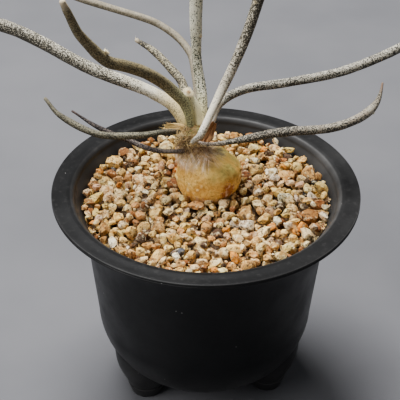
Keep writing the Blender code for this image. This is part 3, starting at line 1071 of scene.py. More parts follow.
def crushed(chance: np.random.Generator, places: Array, sizes: Array, cut: Cut) -> Surface:
    """Crushed stones, each a rounded polyhedron cut by random planes.

    The surface lies in direction d at (sum over planes k of max(d.n_k / h_k, 0)^p)^(-1/p), which is the
    polyhedron of those planes with its edges rounded, the less so the larger the sharpness p is. It is then
    stretched along three axes, tilted about a level line and turned.

    Args:
        chance: The source of random numbers.
        places: The middle of each stone.
        sizes: The three half sizes of each stone, across, across and up.
        cut: How they are cut.

    Returns:
        One surface of closed stones, with the number of its stone marked on each point.
    """
    count, power = len(places), cut.sharpness
    form, faces = stone_form(cut.corners)
    normal = unit(chance.normal(size=(count, cut.planes, 3)))
    reach = chance.uniform(cut.nearest, 1.0, (count, cut.planes))
    facing = np.maximum(np.einsum("vd,nkd->nvk", form, normal) / reach[:, None, :], 0.0)
    total = (facing ** power).sum(axis=-1) + (np.abs(form) ** power).sum(axis=-1)
    lumps = 1 + cut.lumps * noise(form * 1.3 + chance.uniform(0, 90, (count, 1, 3)), 1.0, 17)
    radius = total ** (-1 / power) * lumps * chance.normal(1, cut.grit, (count, cut.corners))
    points = form * radius[..., None] * (sizes * cut.size)[:, None, :]
    yaw = chance.uniform(0, math.tau, (count, 1))
    axis_turn = chance.uniform(0, math.tau, count)
    tilt = chance.normal(0, cut.tilt, (count, 1, 1))
    lean = np.stack((np.cos(axis_turn), np.sin(axis_turn), np.zeros(count)), axis=-1)[:, None]
    along = (points * lean).sum(axis=-1, keepdims=True)
    points = points * np.cos(tilt) + np.cross(lean, points) * np.sin(tilt) + lean * along * (1 - np.cos(tilt))
    x, y, z = np.moveaxis(points, -1, 0)
    cosine, sine = np.cos(yaw), np.sin(yaw)
    placed = np.stack((x * cosine - y * sine, x * sine + y * cosine, z), axis=-1) + places[:, None]
    triangles = faces + (np.arange(count) * cut.corners)[:, None, None]
    owner = np.repeat(np.arange(count), cut.corners)
    return Surface(placed.reshape(-1, 3), triangles=triangles.reshape(-1, 3), marks={"owner": owner})


@dataclass
class Gravel:
    """The crushed stone round the plant: dark fines below, grains that settle on them, and crumbs between.

    Grains settle one after another on a height map: of several chance places each takes the one where it
    comes to rest lowest under the bed's wanted level, and the map rises by its upper side.
    """

    level: float = 90.7
    slope: tuple = (0.024, 0.010)
    wave: float = 0.55
    ridge: float = 1.6
    ridge_radius: float = 14.0
    fines_depth: float = 5.6
    fines_gap: float = 0.3
    reach: float = 51.0
    clear_radius: float = 10.8
    map_half: float = 53.0
    cell: float = 0.3
    barrier: float = 1000.0
    snug: float = 0.92
    nestle: float = 0.12
    wall_gap: float = 0.15
    crease: float = 38.0
    grains: int = 2100
    chips: int = 700
    crumbs: int = 1500
    # The share of each channel taken off the grains beside and behind the tuber.
    stain: Colour = (0.33, 0.39, 0.46)
    front_lift: float = 0.22
    heights: Array = field(init=False)
    chance: np.random.Generator = seeded(5)

    def wanted(self, places: Array) -> Array:
        """The bed's level, higher to the right and behind, with low waves and a low ridge round the tuber.

        The ridge falls off on both sides of its circle as a bell curve.

        Args:
            places: Where to read it, as an array whose last axis is x, y.

        Returns:
            The heights.
        """
        flat = np.concatenate((places, np.zeros((*places.shape[:-1], 1))), axis=-1)
        away = np.linalg.norm(places - TUBER_AXIS[:2], axis=-1) - self.ridge_radius
        level = self.level + places @ np.array(self.slope) + self.wave * noise(flat, 17.0, 3)
        return level + self.ridge * np.exp(-(away / 3.0) ** 2)

    def base(self) -> Surface:
        """The dark fines: a turned body whose top follows the wanted level, well below it.

        Returns:
            The closed body.
        """
        sides, pot = 160, Pot()
        spread = np.linspace(0.6, 49.4, 80)
        top = turned(np.stack((spread, np.zeros(80)), axis=-1), sides)
        top[..., 2] = self.wanted(top[..., :2]) - self.fines_depth + 0.5 * noise(top, 2.1, 8)
        inset = pot.wall + self.fines_gap
        wall = pot.side(np.linspace(9.0, pot.corner_depth, 12), inset)
        profile = np.concatenate((wall, pot.corner(inset, -6, -90, 12)))
        grid = np.concatenate((top, turned(profile, sides)))[::-1]
        summit = np.array((0.0, 0.0, float(top[0, :, 2].mean())))
        return capped(grid, np.array((0.0, 0.0, profile[-1, 1])), summit)

    def prepare(self) -> None:
        """Start the height map at the fines, with the wall and the caudex as ground too high to rest on."""
        count = int(2 * self.map_half / self.cell)
        axis = (np.arange(count) + 0.5) * self.cell - self.map_half
        places = np.stack(np.meshgrid(axis, axis, indexing="ij"), axis=-1)
        self.heights = self.wanted(places) - self.fines_depth
        blocked = np.linalg.norm(places, axis=-1) > self.reach
        blocked |= np.linalg.norm(places - TUBER_AXIS[:2], axis=-1) < self.clear_radius
        self.heights[blocked] = self.barrier

    def sizes(self, length: Array, wide: tuple, high: tuple) -> Array:
        """The half sizes of stones, whose width and height are chance shares of their length.

        Args:
            length: How long each stone is.
            wide: The least and the greatest share of the width.
            high: The least and the greatest share of the height.

        Returns:
            The three half sizes of each stone.
        """
        shares = [self.chance.uniform(*limits, len(length)) for limits in (wide, high)]
        return np.stack((length, length * shares[0], length * shares[1]), axis=-1) / 2

    def settle(self, sizes: Array, tries: int, proud: float) -> tuple[Array, Array]:
        """Let grains come to rest, one after another.

        Args:
            sizes: The three half sizes of each grain.
            tries: How many places each grain may choose from.
            proud: How far a grain may stand above the wanted level.

        Returns:
            The middles of the grains that found a place, and their sizes.
        """
        places, kept = [], []
        for size in sizes:
            radius = math.sqrt(size[0] * size[1])
            cells = int(radius / self.cell)
            span = np.arange(-cells, cells + 1)
            dx, dy = (item.reshape(-1) for item in np.meshgrid(span, span, indexing="ij"))
            share = (dx ** 2 + dy ** 2) * self.cell ** 2 / radius ** 2
            inside = share < 1
            dx, dy = dx[inside], dy[inside]
            dome = size[2] * self.snug * np.sqrt(1 - share[inside])
            spread = (self.reach - radius) * np.sqrt(self.chance.random(tries))
            turn = self.chance.uniform(0, math.tau, tries)
            spots = np.stack((spread * np.cos(turn), spread * np.sin(turn)), axis=-1)
            cell = ((spots + self.map_half) / self.cell).astype(np.int64)
            ground = self.heights[cell[:, 0, None] + dx, cell[:, 1, None] + dy]
            rest = (ground + dome).max(axis=1) - self.nestle
            above = rest - self.wanted(spots)
            best = int(above.argmin())
            if above[best] + size[2] > proud:
                continue
            x, y = cell[best, 0] + dx, cell[best, 1] + dy
            self.heights[x, y] = np.maximum(self.heights[x, y], rest[best] + dome)
            places.append((*spots[best], rest[best]))
            kept.append(size)
        return np.array(places), np.array(kept)

    def held_in(self, shape: Surface) -> Surface:
        """Move the points that would lie in the pot's wall straight inwards, to just inside it.

        Args:
            shape: The stones.

        Returns:
            The same stones, changed.
        """
        pot = Pot()
        away = np.linalg.norm(shape.points[:, :2], axis=1)
        limit = pot.outer(POT_HEIGHT - shape.points[:, 2]) - pot.wall - self.wall_gap
        shape.points[:, :2] *= np.minimum(1, limit / away)[:, None]
        return shape

    def coloured(self, shape: Surface, places: Array) -> Surface:
        """Give each stone its colour.

        It is one of the named ones, lighter or darker by chance, darker and browner beside and behind the
        tuber, and lighter in front.

        Args:
            shape: The stones, with the number of its stone on each point.
            places: The middles of the stones.

        Returns:
            The stones, with the mark `stone`.
        """
        count = len(places)
        kinds = list(Stone)
        share = np.array([kind.share for kind in kinds])
        pick = self.chance.choice(len(kinds), count, p=share / share.sum())
        colour = np.array([kind.colour for kind in kinds])[pick]
        colour *= self.chance.uniform(0.74, 1.28, (count, 1))
        colour *= self.chance.uniform(0.94, 1.06, (count, 3))
        away = np.linalg.norm(places[:, :2] - TUBER_AXIS[:2], axis=1)
        # Darker and browner beside and behind the tuber, lighter in front.
        stain = ease((26 - away) / 9) * ease((places[:, 1] + 3) / 6)
        colour *= 1 - stain[:, None] * np.array(self.stain)
        front = ease((-12 - places[:, 1]) / 15) * np.exp(-((places[:, 0] - 3) / 22) ** 2)
        colour *= 1 + self.front_lift * front[:, None]
        colour *= np.minimum(1, 0.95 / colour.max(axis=1, keepdims=True))
        shape.marks = {"stone": colour[shape.marks["owner"]]}
        return shape

    def lay(self, name: str, resting: tuple[Array, Array], cut: Cut, finish: bpy.types.Material) -> None:
        """Make one lot of stones.

        Args:
            name: The piece's name.
            resting: The middles of the stones and their sizes.
            cut: How they are cut.
            finish: Their material.
        """
        places, sizes = resting
        stones = self.coloured(crushed(self.chance, places, sizes, cut), places)
        add_piece(name, self.held_in(stones), finish, "gravel", "gravel_bed", crease=self.crease)

    def build(self) -> None:
        """Make the fines, then the grains, chips and crumbs, each lot on what lies there already."""
        self.prepare()
        add_piece("gravel_fines", self.base(), DarkSoil().material(), "gravel", "gravel_bed")
        length = np.clip(self.chance.lognormal(math.log(4.8), 0.27, self.grains), 3.1, 8.2)
        grains = self.settle(self.sizes(length, (0.72, 0.98), (0.58, 0.85)), 4, 1.4)
        length = self.chance.uniform(1.7, 3.4, self.chips)
        chips = self.settle(self.sizes(length, (0.75, 0.98), (0.6, 0.9)), 20, -0.5)
        LOG.info("gravel: %d grains and %d chips came to rest", len(grains[0]), len(chips[0]))
        finish = GritStone().material()
        self.lay("gravel_grains", grains, COARSE, finish)
        self.lay("gravel_chips", chips, COARSE, finish)
        sizes = np.outer(self.chance.uniform(0.6, 1.4, self.crumbs), (1.0, 0.85, 0.75)) / 2
        self.lay("gravel_crumbs", self.settle(sizes, 12, -1.4), TINY, finish)


# Caudex and crown


@dataclass
class Caudex:
    """The swollen tuber with its crown and taproot: a profile turned round an axis that leans and bends."""

    profile: tuple = (
        (0.0, 120.0), (1.78, 119.69), (3.61, 118.54), (4.82, 116.75), (5.2, 114.8), (4.75, 112.69),
        (4.9, 110.8), (6.2, 108.6), (8.9, 106.39), (10.6, 104.03), (12.6, 100.5), (13.3, 96.0),
        (12.2, 91.12), (9.1, 87.22), (5.6, 84.0), (3.9, 78.6), (2.6, 70.5), (1.3, 58.1), (0.0, 57.0))
    lean_start: float = 4.0
    lean_rise: float = 10.0
    root_length: float = 27.0
    root_bend: tuple = (2.2, 1.1)
    hollow_line: tuple = ((2.6, 7.8, 107.4), (4.9, 8.6, 106.2))
    swellings: tuple = (((6.3, -1.0, 104.5), 4.0, 0.35), ((6.4, 11.6, 105.0), 3.2, 1.2))
    fold_line: tuple = ((1.2, 2.2, 107.2), (4.1, 1.0, 105.9))
    sides: int = 264
    sheet_radius: float = 13.3
    fine_above: float = 86.5
    line: Array = field(init=False)

    def __post_init__(self) -> None:
        """Work out the fine points of the profile."""
        self.line = smooth_route(np.array(self.profile), 0.1)

    def middle(self, height: Array) -> Array:
        """Where its middle lies: eased from the tuber's axis to the crown's, with a bent root.

        Args:
            height: The height, or an array of them.

        Returns:
            The middle's x and y, as the last axis.
        """
        lean = ease((height - TUBER_CENTRE_Z - self.lean_start) / self.lean_rise)[..., None]
        root = np.clip(TUBER_CENTRE_Z - TUBER_HALF_HEIGHT - height, 0, None)[..., None] / self.root_length
        return TUBER_AXIS[:2] * (1 - lean) + CROWN_CENTRE[:2] * lean + np.array(self.root_bend) * root ** 2

    def outline(self) -> Array:
        """Points of the profile, close together above the gravel and wide apart on the root."""
        above = self.line[:, 1] > self.fine_above
        return np.concatenate((self.line[above][3::3], self.line[~above][::12]))

    def radius(self, height: Array) -> Array:
        """The smooth radius at a height, without any relief."""
        return np.interp(-height, -self.line[:, 1], self.line[:, 0])

    def azimuths(self, points: Array) -> Array:
        """The directions of points about the tuber's axis, in radians from +X towards +Y."""
        return np.arctan2(points[:, 1] - TUBER_AXIS[1], points[:, 0] - TUBER_AXIS[0])

    def point(self, azimuth: Array, height: Array, proud: Array) -> Array:
        """Places on its skin, or off it by a distance.

        Args:
            azimuth: The direction about its middle, in radians from +X towards +Y.
            height: The height.
            proud: The distance out from the skin.

        Returns:
            The places.
        """
        slope = (self.radius(height - 0.25) - self.radius(height + 0.25)) / 0.5
        out = 1 / np.sqrt(1 + slope ** 2)
        radius = self.radius(height) + proud * out
        heading = np.stack((np.cos(azimuth), np.sin(azimuth)), axis=-1)
        level = self.middle(height) + radius[..., None] * heading
        return np.concatenate((level, (height + proud * slope * out)[..., None]), axis=-1)

    def relief(self, points: Array) -> Array:
        """How far the skin stands out at each point: broad lumps, fine grain, wrinkles and warts.

        The wrinkles are noise that is stretched from the crown down over the shoulder.

        Args:
            points: The points of the smooth skin, as rings x sides x 3.

        Returns:
            The distances.
        """
        height = points[..., 2]
        shoulder = ease((height - 99.5) / 5) * ease((110.5 - height) / 2)
        neck = ease((height - 108.6) / 1.5)
        around = np.broadcast_to(circle(self.sides) * 11, (*height.shape, 2))
        drawn = np.concatenate((around, height[..., None] * 0.10), axis=-1)
        relief = 0.42 * noise(points, 7.5, 1) + 0.13 * noise(points, 2.6, 2) + 0.05 * noise(points, 0.9, 3)
        relief += shoulder * (0.20 * noise(drawn, 1.0, 4) + 0.14 * noise(drawn, 0.42, 5))
        relief += neck * (0.38 * noise(points, 1.6, 6) + 0.22 * noise(points, 0.7, 7))
        wart = np.clip(noise(points, 1.7, 9) - 0.52, 0, 1) * 1.1 * ease((104 - height) / 4)
        hollow = np.exp(-(self.away(points, self.hollow_line) / 1.9) ** 2)
        fold = np.exp(-(self.away(points, self.fold_line) / 0.6) ** 2)
        for middle, reach, rise in self.swellings:
            relief += rise * np.exp(-(((points - np.array(middle)) / reach) ** 2).sum(axis=-1))
        return relief + wart - 0.9 * hollow - 0.45 * fold

    def away(self, points: Array, line: tuple) -> Array:
        """The distance to a short straight line.

        Args:
            points: The points.
            line: The line's two ends.

        Returns:
            The distances.
        """
        start, end = np.array(line)
        run = end - start
        share = np.clip(((points - start) @ run) / (run @ run), 0, 1)
        return np.linalg.norm(points - start - share[..., None] * run, axis=-1)

    def shape(self) -> Surface:
        """The skin, its marks and its sheet coordinates (distance round, height).

        Returns:
            The closed surface.
        """
        profile = self.outline()
        grid = turned(profile, self.sides)
        grid[..., :2] += self.middle(profile[:, 1])[:, None]
        run = np.gradient(profile, axis=0)
        square = np.stack((-run[:, 1], run[:, 0]), axis=-1) / np.linalg.norm(run, axis=1)[:, None]
        relief = self.relief(grid) * ease(profile[:, :1] / 1.5)
        grid += turned(square, self.sides) * relief[..., None]
        top = np.array((*CROWN_CENTRE[:2], self.profile[0][1]))
        tip = np.array((*self.middle(np.array(self.profile[-1][1])), self.profile[-1][1]))
        surface = capped(grid[::-1], tip, top)
        surface.marks = self.marks(surface.points)
        across = np.abs(self.azimuths(surface.points)) * self.sheet_radius
        surface.sheet = np.stack((across, surface.points[:, 2]), axis=-1)
        return surface

    def marks(self, points: Array) -> dict[str, Array]:
        """Where the skin is bruised and streaked, green (its dark olive partly painted shade), rusty, or
        barky and darkened as painted shade in the hollow, the fold and the neck, each from 0 to 1.

        Args:
            points: The points of the skin.

        Returns:
            The marks by name.
        """
        x, z = points[:, 0], points[:, 2]
        broken = noise(points, 3.0, 11)
        azimuth = self.azimuths(points)
        drawn = np.stack((azimuth * 13, azimuth * 0, z * 0.15), axis=-1)
        ragged = z + 1.1 * noise(drawn, 1.3, 12) + 0.7 * broken
        shoulder = 0.92 * ease((ragged - 103.4 - 0.20 * (x - TUBER_AXIS[0])) / 4.6)
        # The green flush covers the right shoulder; its darkness there is partly painted shade.
        green = ease((x + 0.5) / 6 + 0.30 * broken) * ease((ragged - 98.0) / 5.5) * 0.85
        patch = ((points - np.array((8.4, -3.4, 95.0))) / np.array((3.9, 3.4, 3.6))) ** 2
        low = ((points - np.array((0.5, -5.6, 92.0))) / np.array((9.0, 4.0, 1.6))) ** 2
        rust = np.clip(1.05 - 0.50 * np.sqrt(patch.sum(axis=1)) + 0.15 * broken, 0, 0.66)
        rust = np.maximum(rust, np.clip(0.95 - 0.45 * np.sqrt(low.sum(axis=1)) + 0.15 * broken, 0, 0.56))
        # Ring at the neck, hollow and fold: dark barky skin laid on as painted shade.
        ring = ease((ragged - 108.9) / 1.5) * ease((112.8 - z) / 1.6)
        frayed = noise(points, 1.2, 13)
        bark = np.maximum(ring * 0.6, ease(1.65 - self.away(points, self.hollow_line) / 2.3 + 0.45 * frayed))
        bark = np.maximum(bark, 0.8 * ease(1.45 - self.away(points, self.fold_line) / 0.6 + 0.6 * frayed))
        wart = ease((noise(points, 1.7, 9) - 0.45) / 0.25) * ease((102 - z) / 4) * 0.8
        return {
            "shoulder": shoulder * (1 - 0.65 * green), "green": green, "rust": rust, "wart": wart,
            "crown": ease((z - 111.0) / 1.6), "bark": bark * (0.86 + 0.14 * broken)}

    def build(self) -> None:
        """Make the caudex."""
        add_piece("caudex_skin", self.shape(), CaudexSkin().material(), "caudex_skin", "caudex")


# Tubercles


@dataclass(frozen=True)
class Plan:
    """How one tubercle grows.

    Its foot is given by `seat`, the azimuth and elevation of its seat on the crown in degrees, or by `base`,
    two points inside and at the crown's skin. `route` goes on from there. `girth` and `coat` give the radius
    and an extra share of flecks at distances from the seat. Towards its end it narrows to the radius `tip`
    over the length `taper`.
    """

    name: str
    skin: SpeckledSkin
    tip: float
    girth: tuple
    route: tuple
    coat: tuple = ((0, 0.0), (1, 0.0))
    seat: tuple = ()
    base: tuple = ()
    foot_length: float = 9.0
    end_length: float = 4.0
    taper: float = 16.0


PALE = SpeckledSkin(
    "pale_skin", (0.052, 0.047, 0.034), (0.70, 0.65, 0.52), (0.64, 0.49, 0.19), (0.42, 0.36, 0.25),
    0.74, 0.40, 2300.0)
OLIVE = SpeckledSkin(
    "olive_skin", (0.066, 0.053, 0.028), (0.255, 0.210, 0.112), (0.44, 0.44, 0.22), (0.72, 0.58, 0.38),
    0.60, 0.36)
SAGE = SpeckledSkin(
    "sage_skin", (0.040, 0.046, 0.027), (0.80, 0.77, 0.60), (0.93, 0.86, 0.50), (0.50, 0.48, 0.38),
    0.58, 0.44)
FAR = SpeckledSkin(
    "far_skin", (0.125, 0.110, 0.072), (0.30, 0.26, 0.19), (0.36, 0.28, 0.19), (0.45, 0.40, 0.30),
    0.78, 0.20)
CHALKY = SpeckledSkin(
    "chalky_skin", (0.052, 0.044, 0.030), (0.63, 0.57, 0.44), (0.95, 0.89, 0.72), (0.50, 0.46, 0.38),
    0.62, 0.38)
GREY = SpeckledSkin(
    "grey_skin", (0.030, 0.028, 0.021), (0.47, 0.44, 0.355), (0.97, 0.90, 0.74), (0.40, 0.34, 0.27),
    0.52, 0.20)
PEBBLED = SpeckledSkin(
    "pebbled_skin", (0.026, 0.024, 0.018), (0.385, 0.345, 0.265), (0.40, 0.31, 0.24), (0.42, 0.27, 0.19),
    0.50, 0.26)
DARK_OLIVE = SpeckledSkin(
    "dark_olive_skin", (0.028, 0.025, 0.015), (0.195, 0.175, 0.115), (0.09, 0.065, 0.035), (0.24, 0.21, 0.14),
    0.54, 0.26)
DUSKY = SpeckledSkin(
    "dusky_skin", (0.018, 0.014, 0.013), (0.19, 0.15, 0.125), (0.14, 0.11, 0.085), (0.11, 0.07, 0.06),
    0.42, 0.15)
WITHERED = SpeckledSkin(
    "withered_skin", (0.046, 0.040, 0.028), (0.41, 0.37, 0.255), (0.30, 0.28, 0.13), (0.70, 0.58, 0.40),
    0.50, 0.26)

PLANS = (
    Plan(
        "left_long", PALE, 1.2,
        girth=((-3, 2.3), (4, 2.45), (90, 2.5)),
        route=(
            (-10.6, 11.6, 121.3), (-12.1, 13.0, 123.1), (-14.1, 14.4, 124.8), (-16.6, 15.6, 126.1),
            (-20.0, 16.8, 127.5), (-26.5, 18.5, 130), (-47, 21.5, 137), (-65, 25, 146), (-81.5, 27.5, 152.5),
            (-104, 26.5, 157.5)),
        coat=((0, 0.0), (9, 0.08), (19, 0.12), (32, -0.26), (52, -0.34), (80, -0.42)),
        base=((-8.9, 9.4, 117.7), (-9.4, 10.4, 119.5)), foot_length=20.0),
    Plan(
        "left_arching", OLIVE, 1.1,
        girth=(
            (-3, 1.55), (2, 1.68), (6, 1.84), (11, 2.2), (16, 2.35), (34, 2.35), (56, 2.2), (66, 1.85),
            (78, 1.5), (90, 1.25)),
        route=(
            (-7.2, 7.3, 124.5), (-8.3, 7.3, 127.9), (-10.1, 7.1, 131.6), (-16.5, 5.6, 139.2),
            (-22.9, 0.9, 146.3), (-27.7, -2.0, 150.0), (-32.4, -5.0, 153.1), (-35.2, -6.6, 154.6),
            (-37.2, -7.7, 156.2), (-38.6, -8.6, 158.0), (-40.2, -9.6, 160.2), (-41.8, -10.8, 162.9),
            (-43.9, -12.8, 166.9), (-45.9, -14.6, 170.9), (-47.2, -16.4, 175.1), (-48.2, -18.0, 179.1),
            (-49.5, -19.8, 183.8), (-50.0, -20.6, 185.8)),
        coat=((0, 0.0), (10, -0.06), (20, 0.08), (30, 0.06), (44, 0.0), (60, 0.05)),
        base=((-6.2, 7.2, 118.4), (-6.6, 7.2, 121.3)), foot_length=26.0, end_length=5.0, taper=5.0),
    Plan(
        "left_withered", WITHERED, 0.9,
        girth=((-3, 1.5), (8, 1.9), (24, 1.75), (36, 1.45), (40, 1.15)),
        route=((-9.5, 26.5, 126), (-14.5, 32.5, 130.5), (-22, 39.5, 135), (-29, 44, 137.5)),
        coat=((0, 0.0), (20, -0.04), (39, -0.04), (40.5, -0.5), (43, -0.5)),
        seat=(107, 17), foot_length=8.0, end_length=2.5, taper=5.0),
    Plan(
        "rear", FAR, 0.7,
        girth=((-3, 1.25), (14, 1.4), (60, 1.5)),
        route=(
            (-4.2, 24, 124.8), (-4.5, 27.5, 128.4), (-6.1, 35, 134.4), (-7.7, 38, 136.4), (-9.8, 40.5, 138.2),
            (-12.6, 43, 139.9), (-16.1, 45, 141.8), (-21.1, 47.2, 143.9), (-26.9, 49, 145.4),
            (-38, 52, 147.5), (-65, 57.5, 153.5)),
        seat=(75, 3)),
    Plan(
        "upright", SAGE, 1.1,
        girth=((-3, 1.9), (12, 2.05), (26, 1.85), (34, 2.3), (43, 2.65), (72, 2.75)),
        route=(
            (-1.6, 13.4, 123.7), (-1.9, 16.0, 127.3), (-2.5, 19.0, 131.0), (-4, 23, 140), (-4.5, 25.5, 152),
            (-4.5, 28, 163.5), (-3.5, 31.5, 190)),
        coat=((0, 0.14), (6, -0.02), (12, -0.08), (26, 0.04), (36, 0.26), (60, 0.30)),
        base=((-2.4, 10.4, 117.2), (-1.8, 11.6, 120.2)), foot_length=12.0),
    Plan(
        "right_rising", CHALKY, 1.1,
        girth=((-3, 0.8), (1, 1.2), (5, 1.55), (16, 1.7), (40, 2.0), (66, 2.25)),
        route=(
            (-2.2, 0.4, 119.6), (1.2, 4.8, 125.3), (6, 11.5, 133.5), (10.5, 16, 142), (15.5, 21, 153.5),
            (19.5, 24.5, 166), (26, 30, 188.5)),
        coat=(
            (0, -0.20), (4, -0.08), (9, 0.24), (14, 0.30), (22, 0.17), (34, -0.08), (50, -0.27), (66, -0.38)),
        base=((-6.3, 2.7, 113.6), (-4.5, 1.1, 116.5)), foot_length=34.0),
    Plan(
        "right_long", GREY, 0.9,
        girth=((-3, 1.9), (10, 1.9), (18, 1.7), (60, 1.85)),
        route=(
            (4.5, 15.5, 124), (15, 20, 128.5), (32.5, 20, 132), (53, 22.5, 135.5), (70.5, 25, 142),
            (87.5, 28, 150), (104, 29, 155)),
        coat=((0, 0.5), (8, 0.36), (17, 0.0), (60, 0.0)),
        seat=(4, 22), foot_length=16.0),
    Plan(
        "right_low", PEBBLED, 0.45,
        girth=((-3, 0.7), (6, 0.85), (12, 1.2), (20, 1.6), (32, 1.85), (60, 1.8)),
        route=(
            (4.8, 0.9, 115.0), (17.1, 2.9, 116.5), (25.0, 4.0, 117.8), (32.9, 5.0, 118.4), (40.9, 6.2, 118.3),
            (47.0, 7.4, 118.2), (52.1, 8.8, 118.6), (56.2, 10.2, 119.3), (60.3, 11.9, 120.3),
            (63.1, 13.4, 121.4), (65.8, 15.0, 123.0), (67.8, 16.6, 125.0), (69.0, 18.0, 127.3),
            (69.6, 19.2, 129.8), (69.9, 20.2, 131.8)),
        coat=((0, 0.15), (7, 0.12), (11, -0.08), (26, -0.06), (54, 0.0), (66, 0.20)),
        seat=(-52, -4), foot_length=11.0, end_length=6.0, taper=14.0),
    Plan(
        "left_low", DARK_OLIVE, 0.7,
        girth=((-3, 1.0), (6, 1.1), (18, 1.35), (42, 1.35)),
        route=((-17.3, 4.8, 117.7), (-27, 4, 116.5), (-43, 4, 117), (-57.5, 9, 122), (-64, 14, 127)),
        coat=((0, -0.2), (20, 0.0)),
        seat=(203, 25)),
    Plan(
        "left_thin", DUSKY, 0.45,
        girth=((-3, 0.9), (8, 1.0), (20, 1.1), (36, 1.0)),
        route=(
            (-13.6, 2.8, 109.9), (-18.4, 3.0, 110.0), (-24.4, 3.6, 111.2), (-32, 7.5, 112.5),
            (-43.5, 11.5, 115.5), (-54, 17, 119.5)),
        coat=((0, 0.20), (14, 0.10), (28, -0.05)),
        base=((-7.7, 3.4, 110.3), (-9.3, 3.0, 110.1))),
    Plan(
        "stub", SAGE, 1.7,
        girth=((-3, 2.0), (3, 2.0), (9, 1.95)),
        route=((-4.4, 10.8, 125.0), (-5.8, 11.4, 128.1), (-7.1, 11.8, 130.4)),
        coat=((0, 0.42), (6, 0.30), (10, 0.10)),
        base=((-2.8, 9.3, 118.8), (-3.5, 10.0, 121.6)), foot_length=19.0, end_length=2.0, taper=4.0),
)


@dataclass
class Tubercle:
    """One finger of the plant: a round sweep along its route, with its own girth and a narrower tip."""

    plan: Plan
    number: int
    gap: float = 5.5
    neck: float = 1.6
    sunk: float = 2.4
    sides: int = 40
    step: float = 0.8
    tip_angles: tuple = (22.0, 42.0, 60.0, 76.0)

    def base(self) -> tuple:
        """Where its route starts inside the crown and where it comes out.

        Returns:
            The two places.
        """
        if self.plan.base:
            return self.plan.base
        turn, rise = (math.radians(angle) for angle in self.plan.seat)
        outward = np.array((math.cos(turn) * math.cos(rise), math.sin(turn) * math.cos(rise), math.sin(rise)))
        seat = CROWN_CENTRE + outward * self.gap
        return tuple(seat - outward * self.sunk), tuple(seat + outward * self.neck)

    def path(self) -> tuple[Array, Array, Array]:
        """Its centre line from inside the crown to its tip, with the distance from the seat and the radius.

        Returns:
            The points, the distances and the radii.
        """
        plan = self.plan
        route = smooth_route(np.array([*self.base(), *plan.route], dtype=float), self.step)
        travelled = distances(route) - self.sunk - self.neck
        length = travelled[-1]
        taper = min(plan.taper, length / 2)
        distance, radii = np.array(plan.girth, dtype=float).T
        girth = np.interp(travelled, distance, radii)
        radius = girth + (plan.tip - girth) * ease((travelled - length + taper) / taper)
        return route, travelled, radius

    def shape(self) -> Surface:
        """The swept skin: rings across the path, with slight ridges and swellings, and a rounded tip.

        Returns:
            The closed surface with its marks.
        """
        plan, number = self.plan, self.number
        route, travelled, radius = self.path()
        heading = unit(route[-1] - route[-3])
        turns = np.radians(np.array(self.tip_angles))
        route = np.concatenate((route, route[-1] + heading * (plan.tip * 0.92 * np.sin(turns))[:, None]))
        travelled = np.concatenate((travelled, travelled[-1] + plan.tip * np.sin(turns)))
        radius = np.concatenate((radius, plan.tip * np.cos(turns)))
        ring = rings(*route_frame(route), self.sides)
        flow = turned(np.stack((np.full_like(travelled, 1.6), travelled * 0.09), axis=-1), self.sides)
        knots = travelled[:, None, None] * (0.23, 0, 0) + (0, 3.7 * number, 0)
        factor = 1 + 0.055 * noise(flow, 1.0, number) + 0.03 * noise(knots, 1.0, 20 + number)
        factor += 0.016 * noise(route[:, None] + ring * radius[:, None, None], 0.9, 40 + number)
        grid = route[:, None] + ring * (radius[:, None] * factor)[..., None]
        surface = capped(grid, route[0], route[-1] + heading * plan.tip * 0.06)
        along = np.concatenate((np.repeat(travelled, self.sides), travelled[:1], travelled[-1:]))
        distance, extra = np.array(plan.coat, dtype=float).T
        ragged = along + 1.2 * noise(surface.points, 2.2, 60 + number)
        surface.marks = {
            "coat": np.interp(along, distance, extra),
            "foot": 0.85 * ease(1 - ragged / plan.foot_length),
            "end": 0.85 * ease((ragged - travelled[-1] + plan.end_length) / plan.end_length)}
        return surface

    def build(self, finish: bpy.types.Material) -> None:
        """Make the tubercle.

        Args:
            finish: Its material.
        """
        name = f"tubercle_{self.plan.name}"
        add_piece(f"{name}_skin", self.shape(), finish, "tubercle_skin", name)

    def place(self, distance: float, side: float) -> tuple[Array, Array]:
        """A place on its skin and the way out from there.

        Args:
            distance: The distance from its seat.
            side: The direction round it in degrees, 0 to the front and 90 to the upper or right side.

        Returns:
            The place and the outward direction.
        """
        route, travelled, radius = self.path()
        across, other = route_frame(route)
        index = int(np.abs(travelled - distance).argmin())
        turn = math.radians(side)
        outward = math.cos(turn) * across[index] + math.sin(turn) * other[index]
        return route[index] + outward * radius[index], outward


# Wool, fibres and dead scales


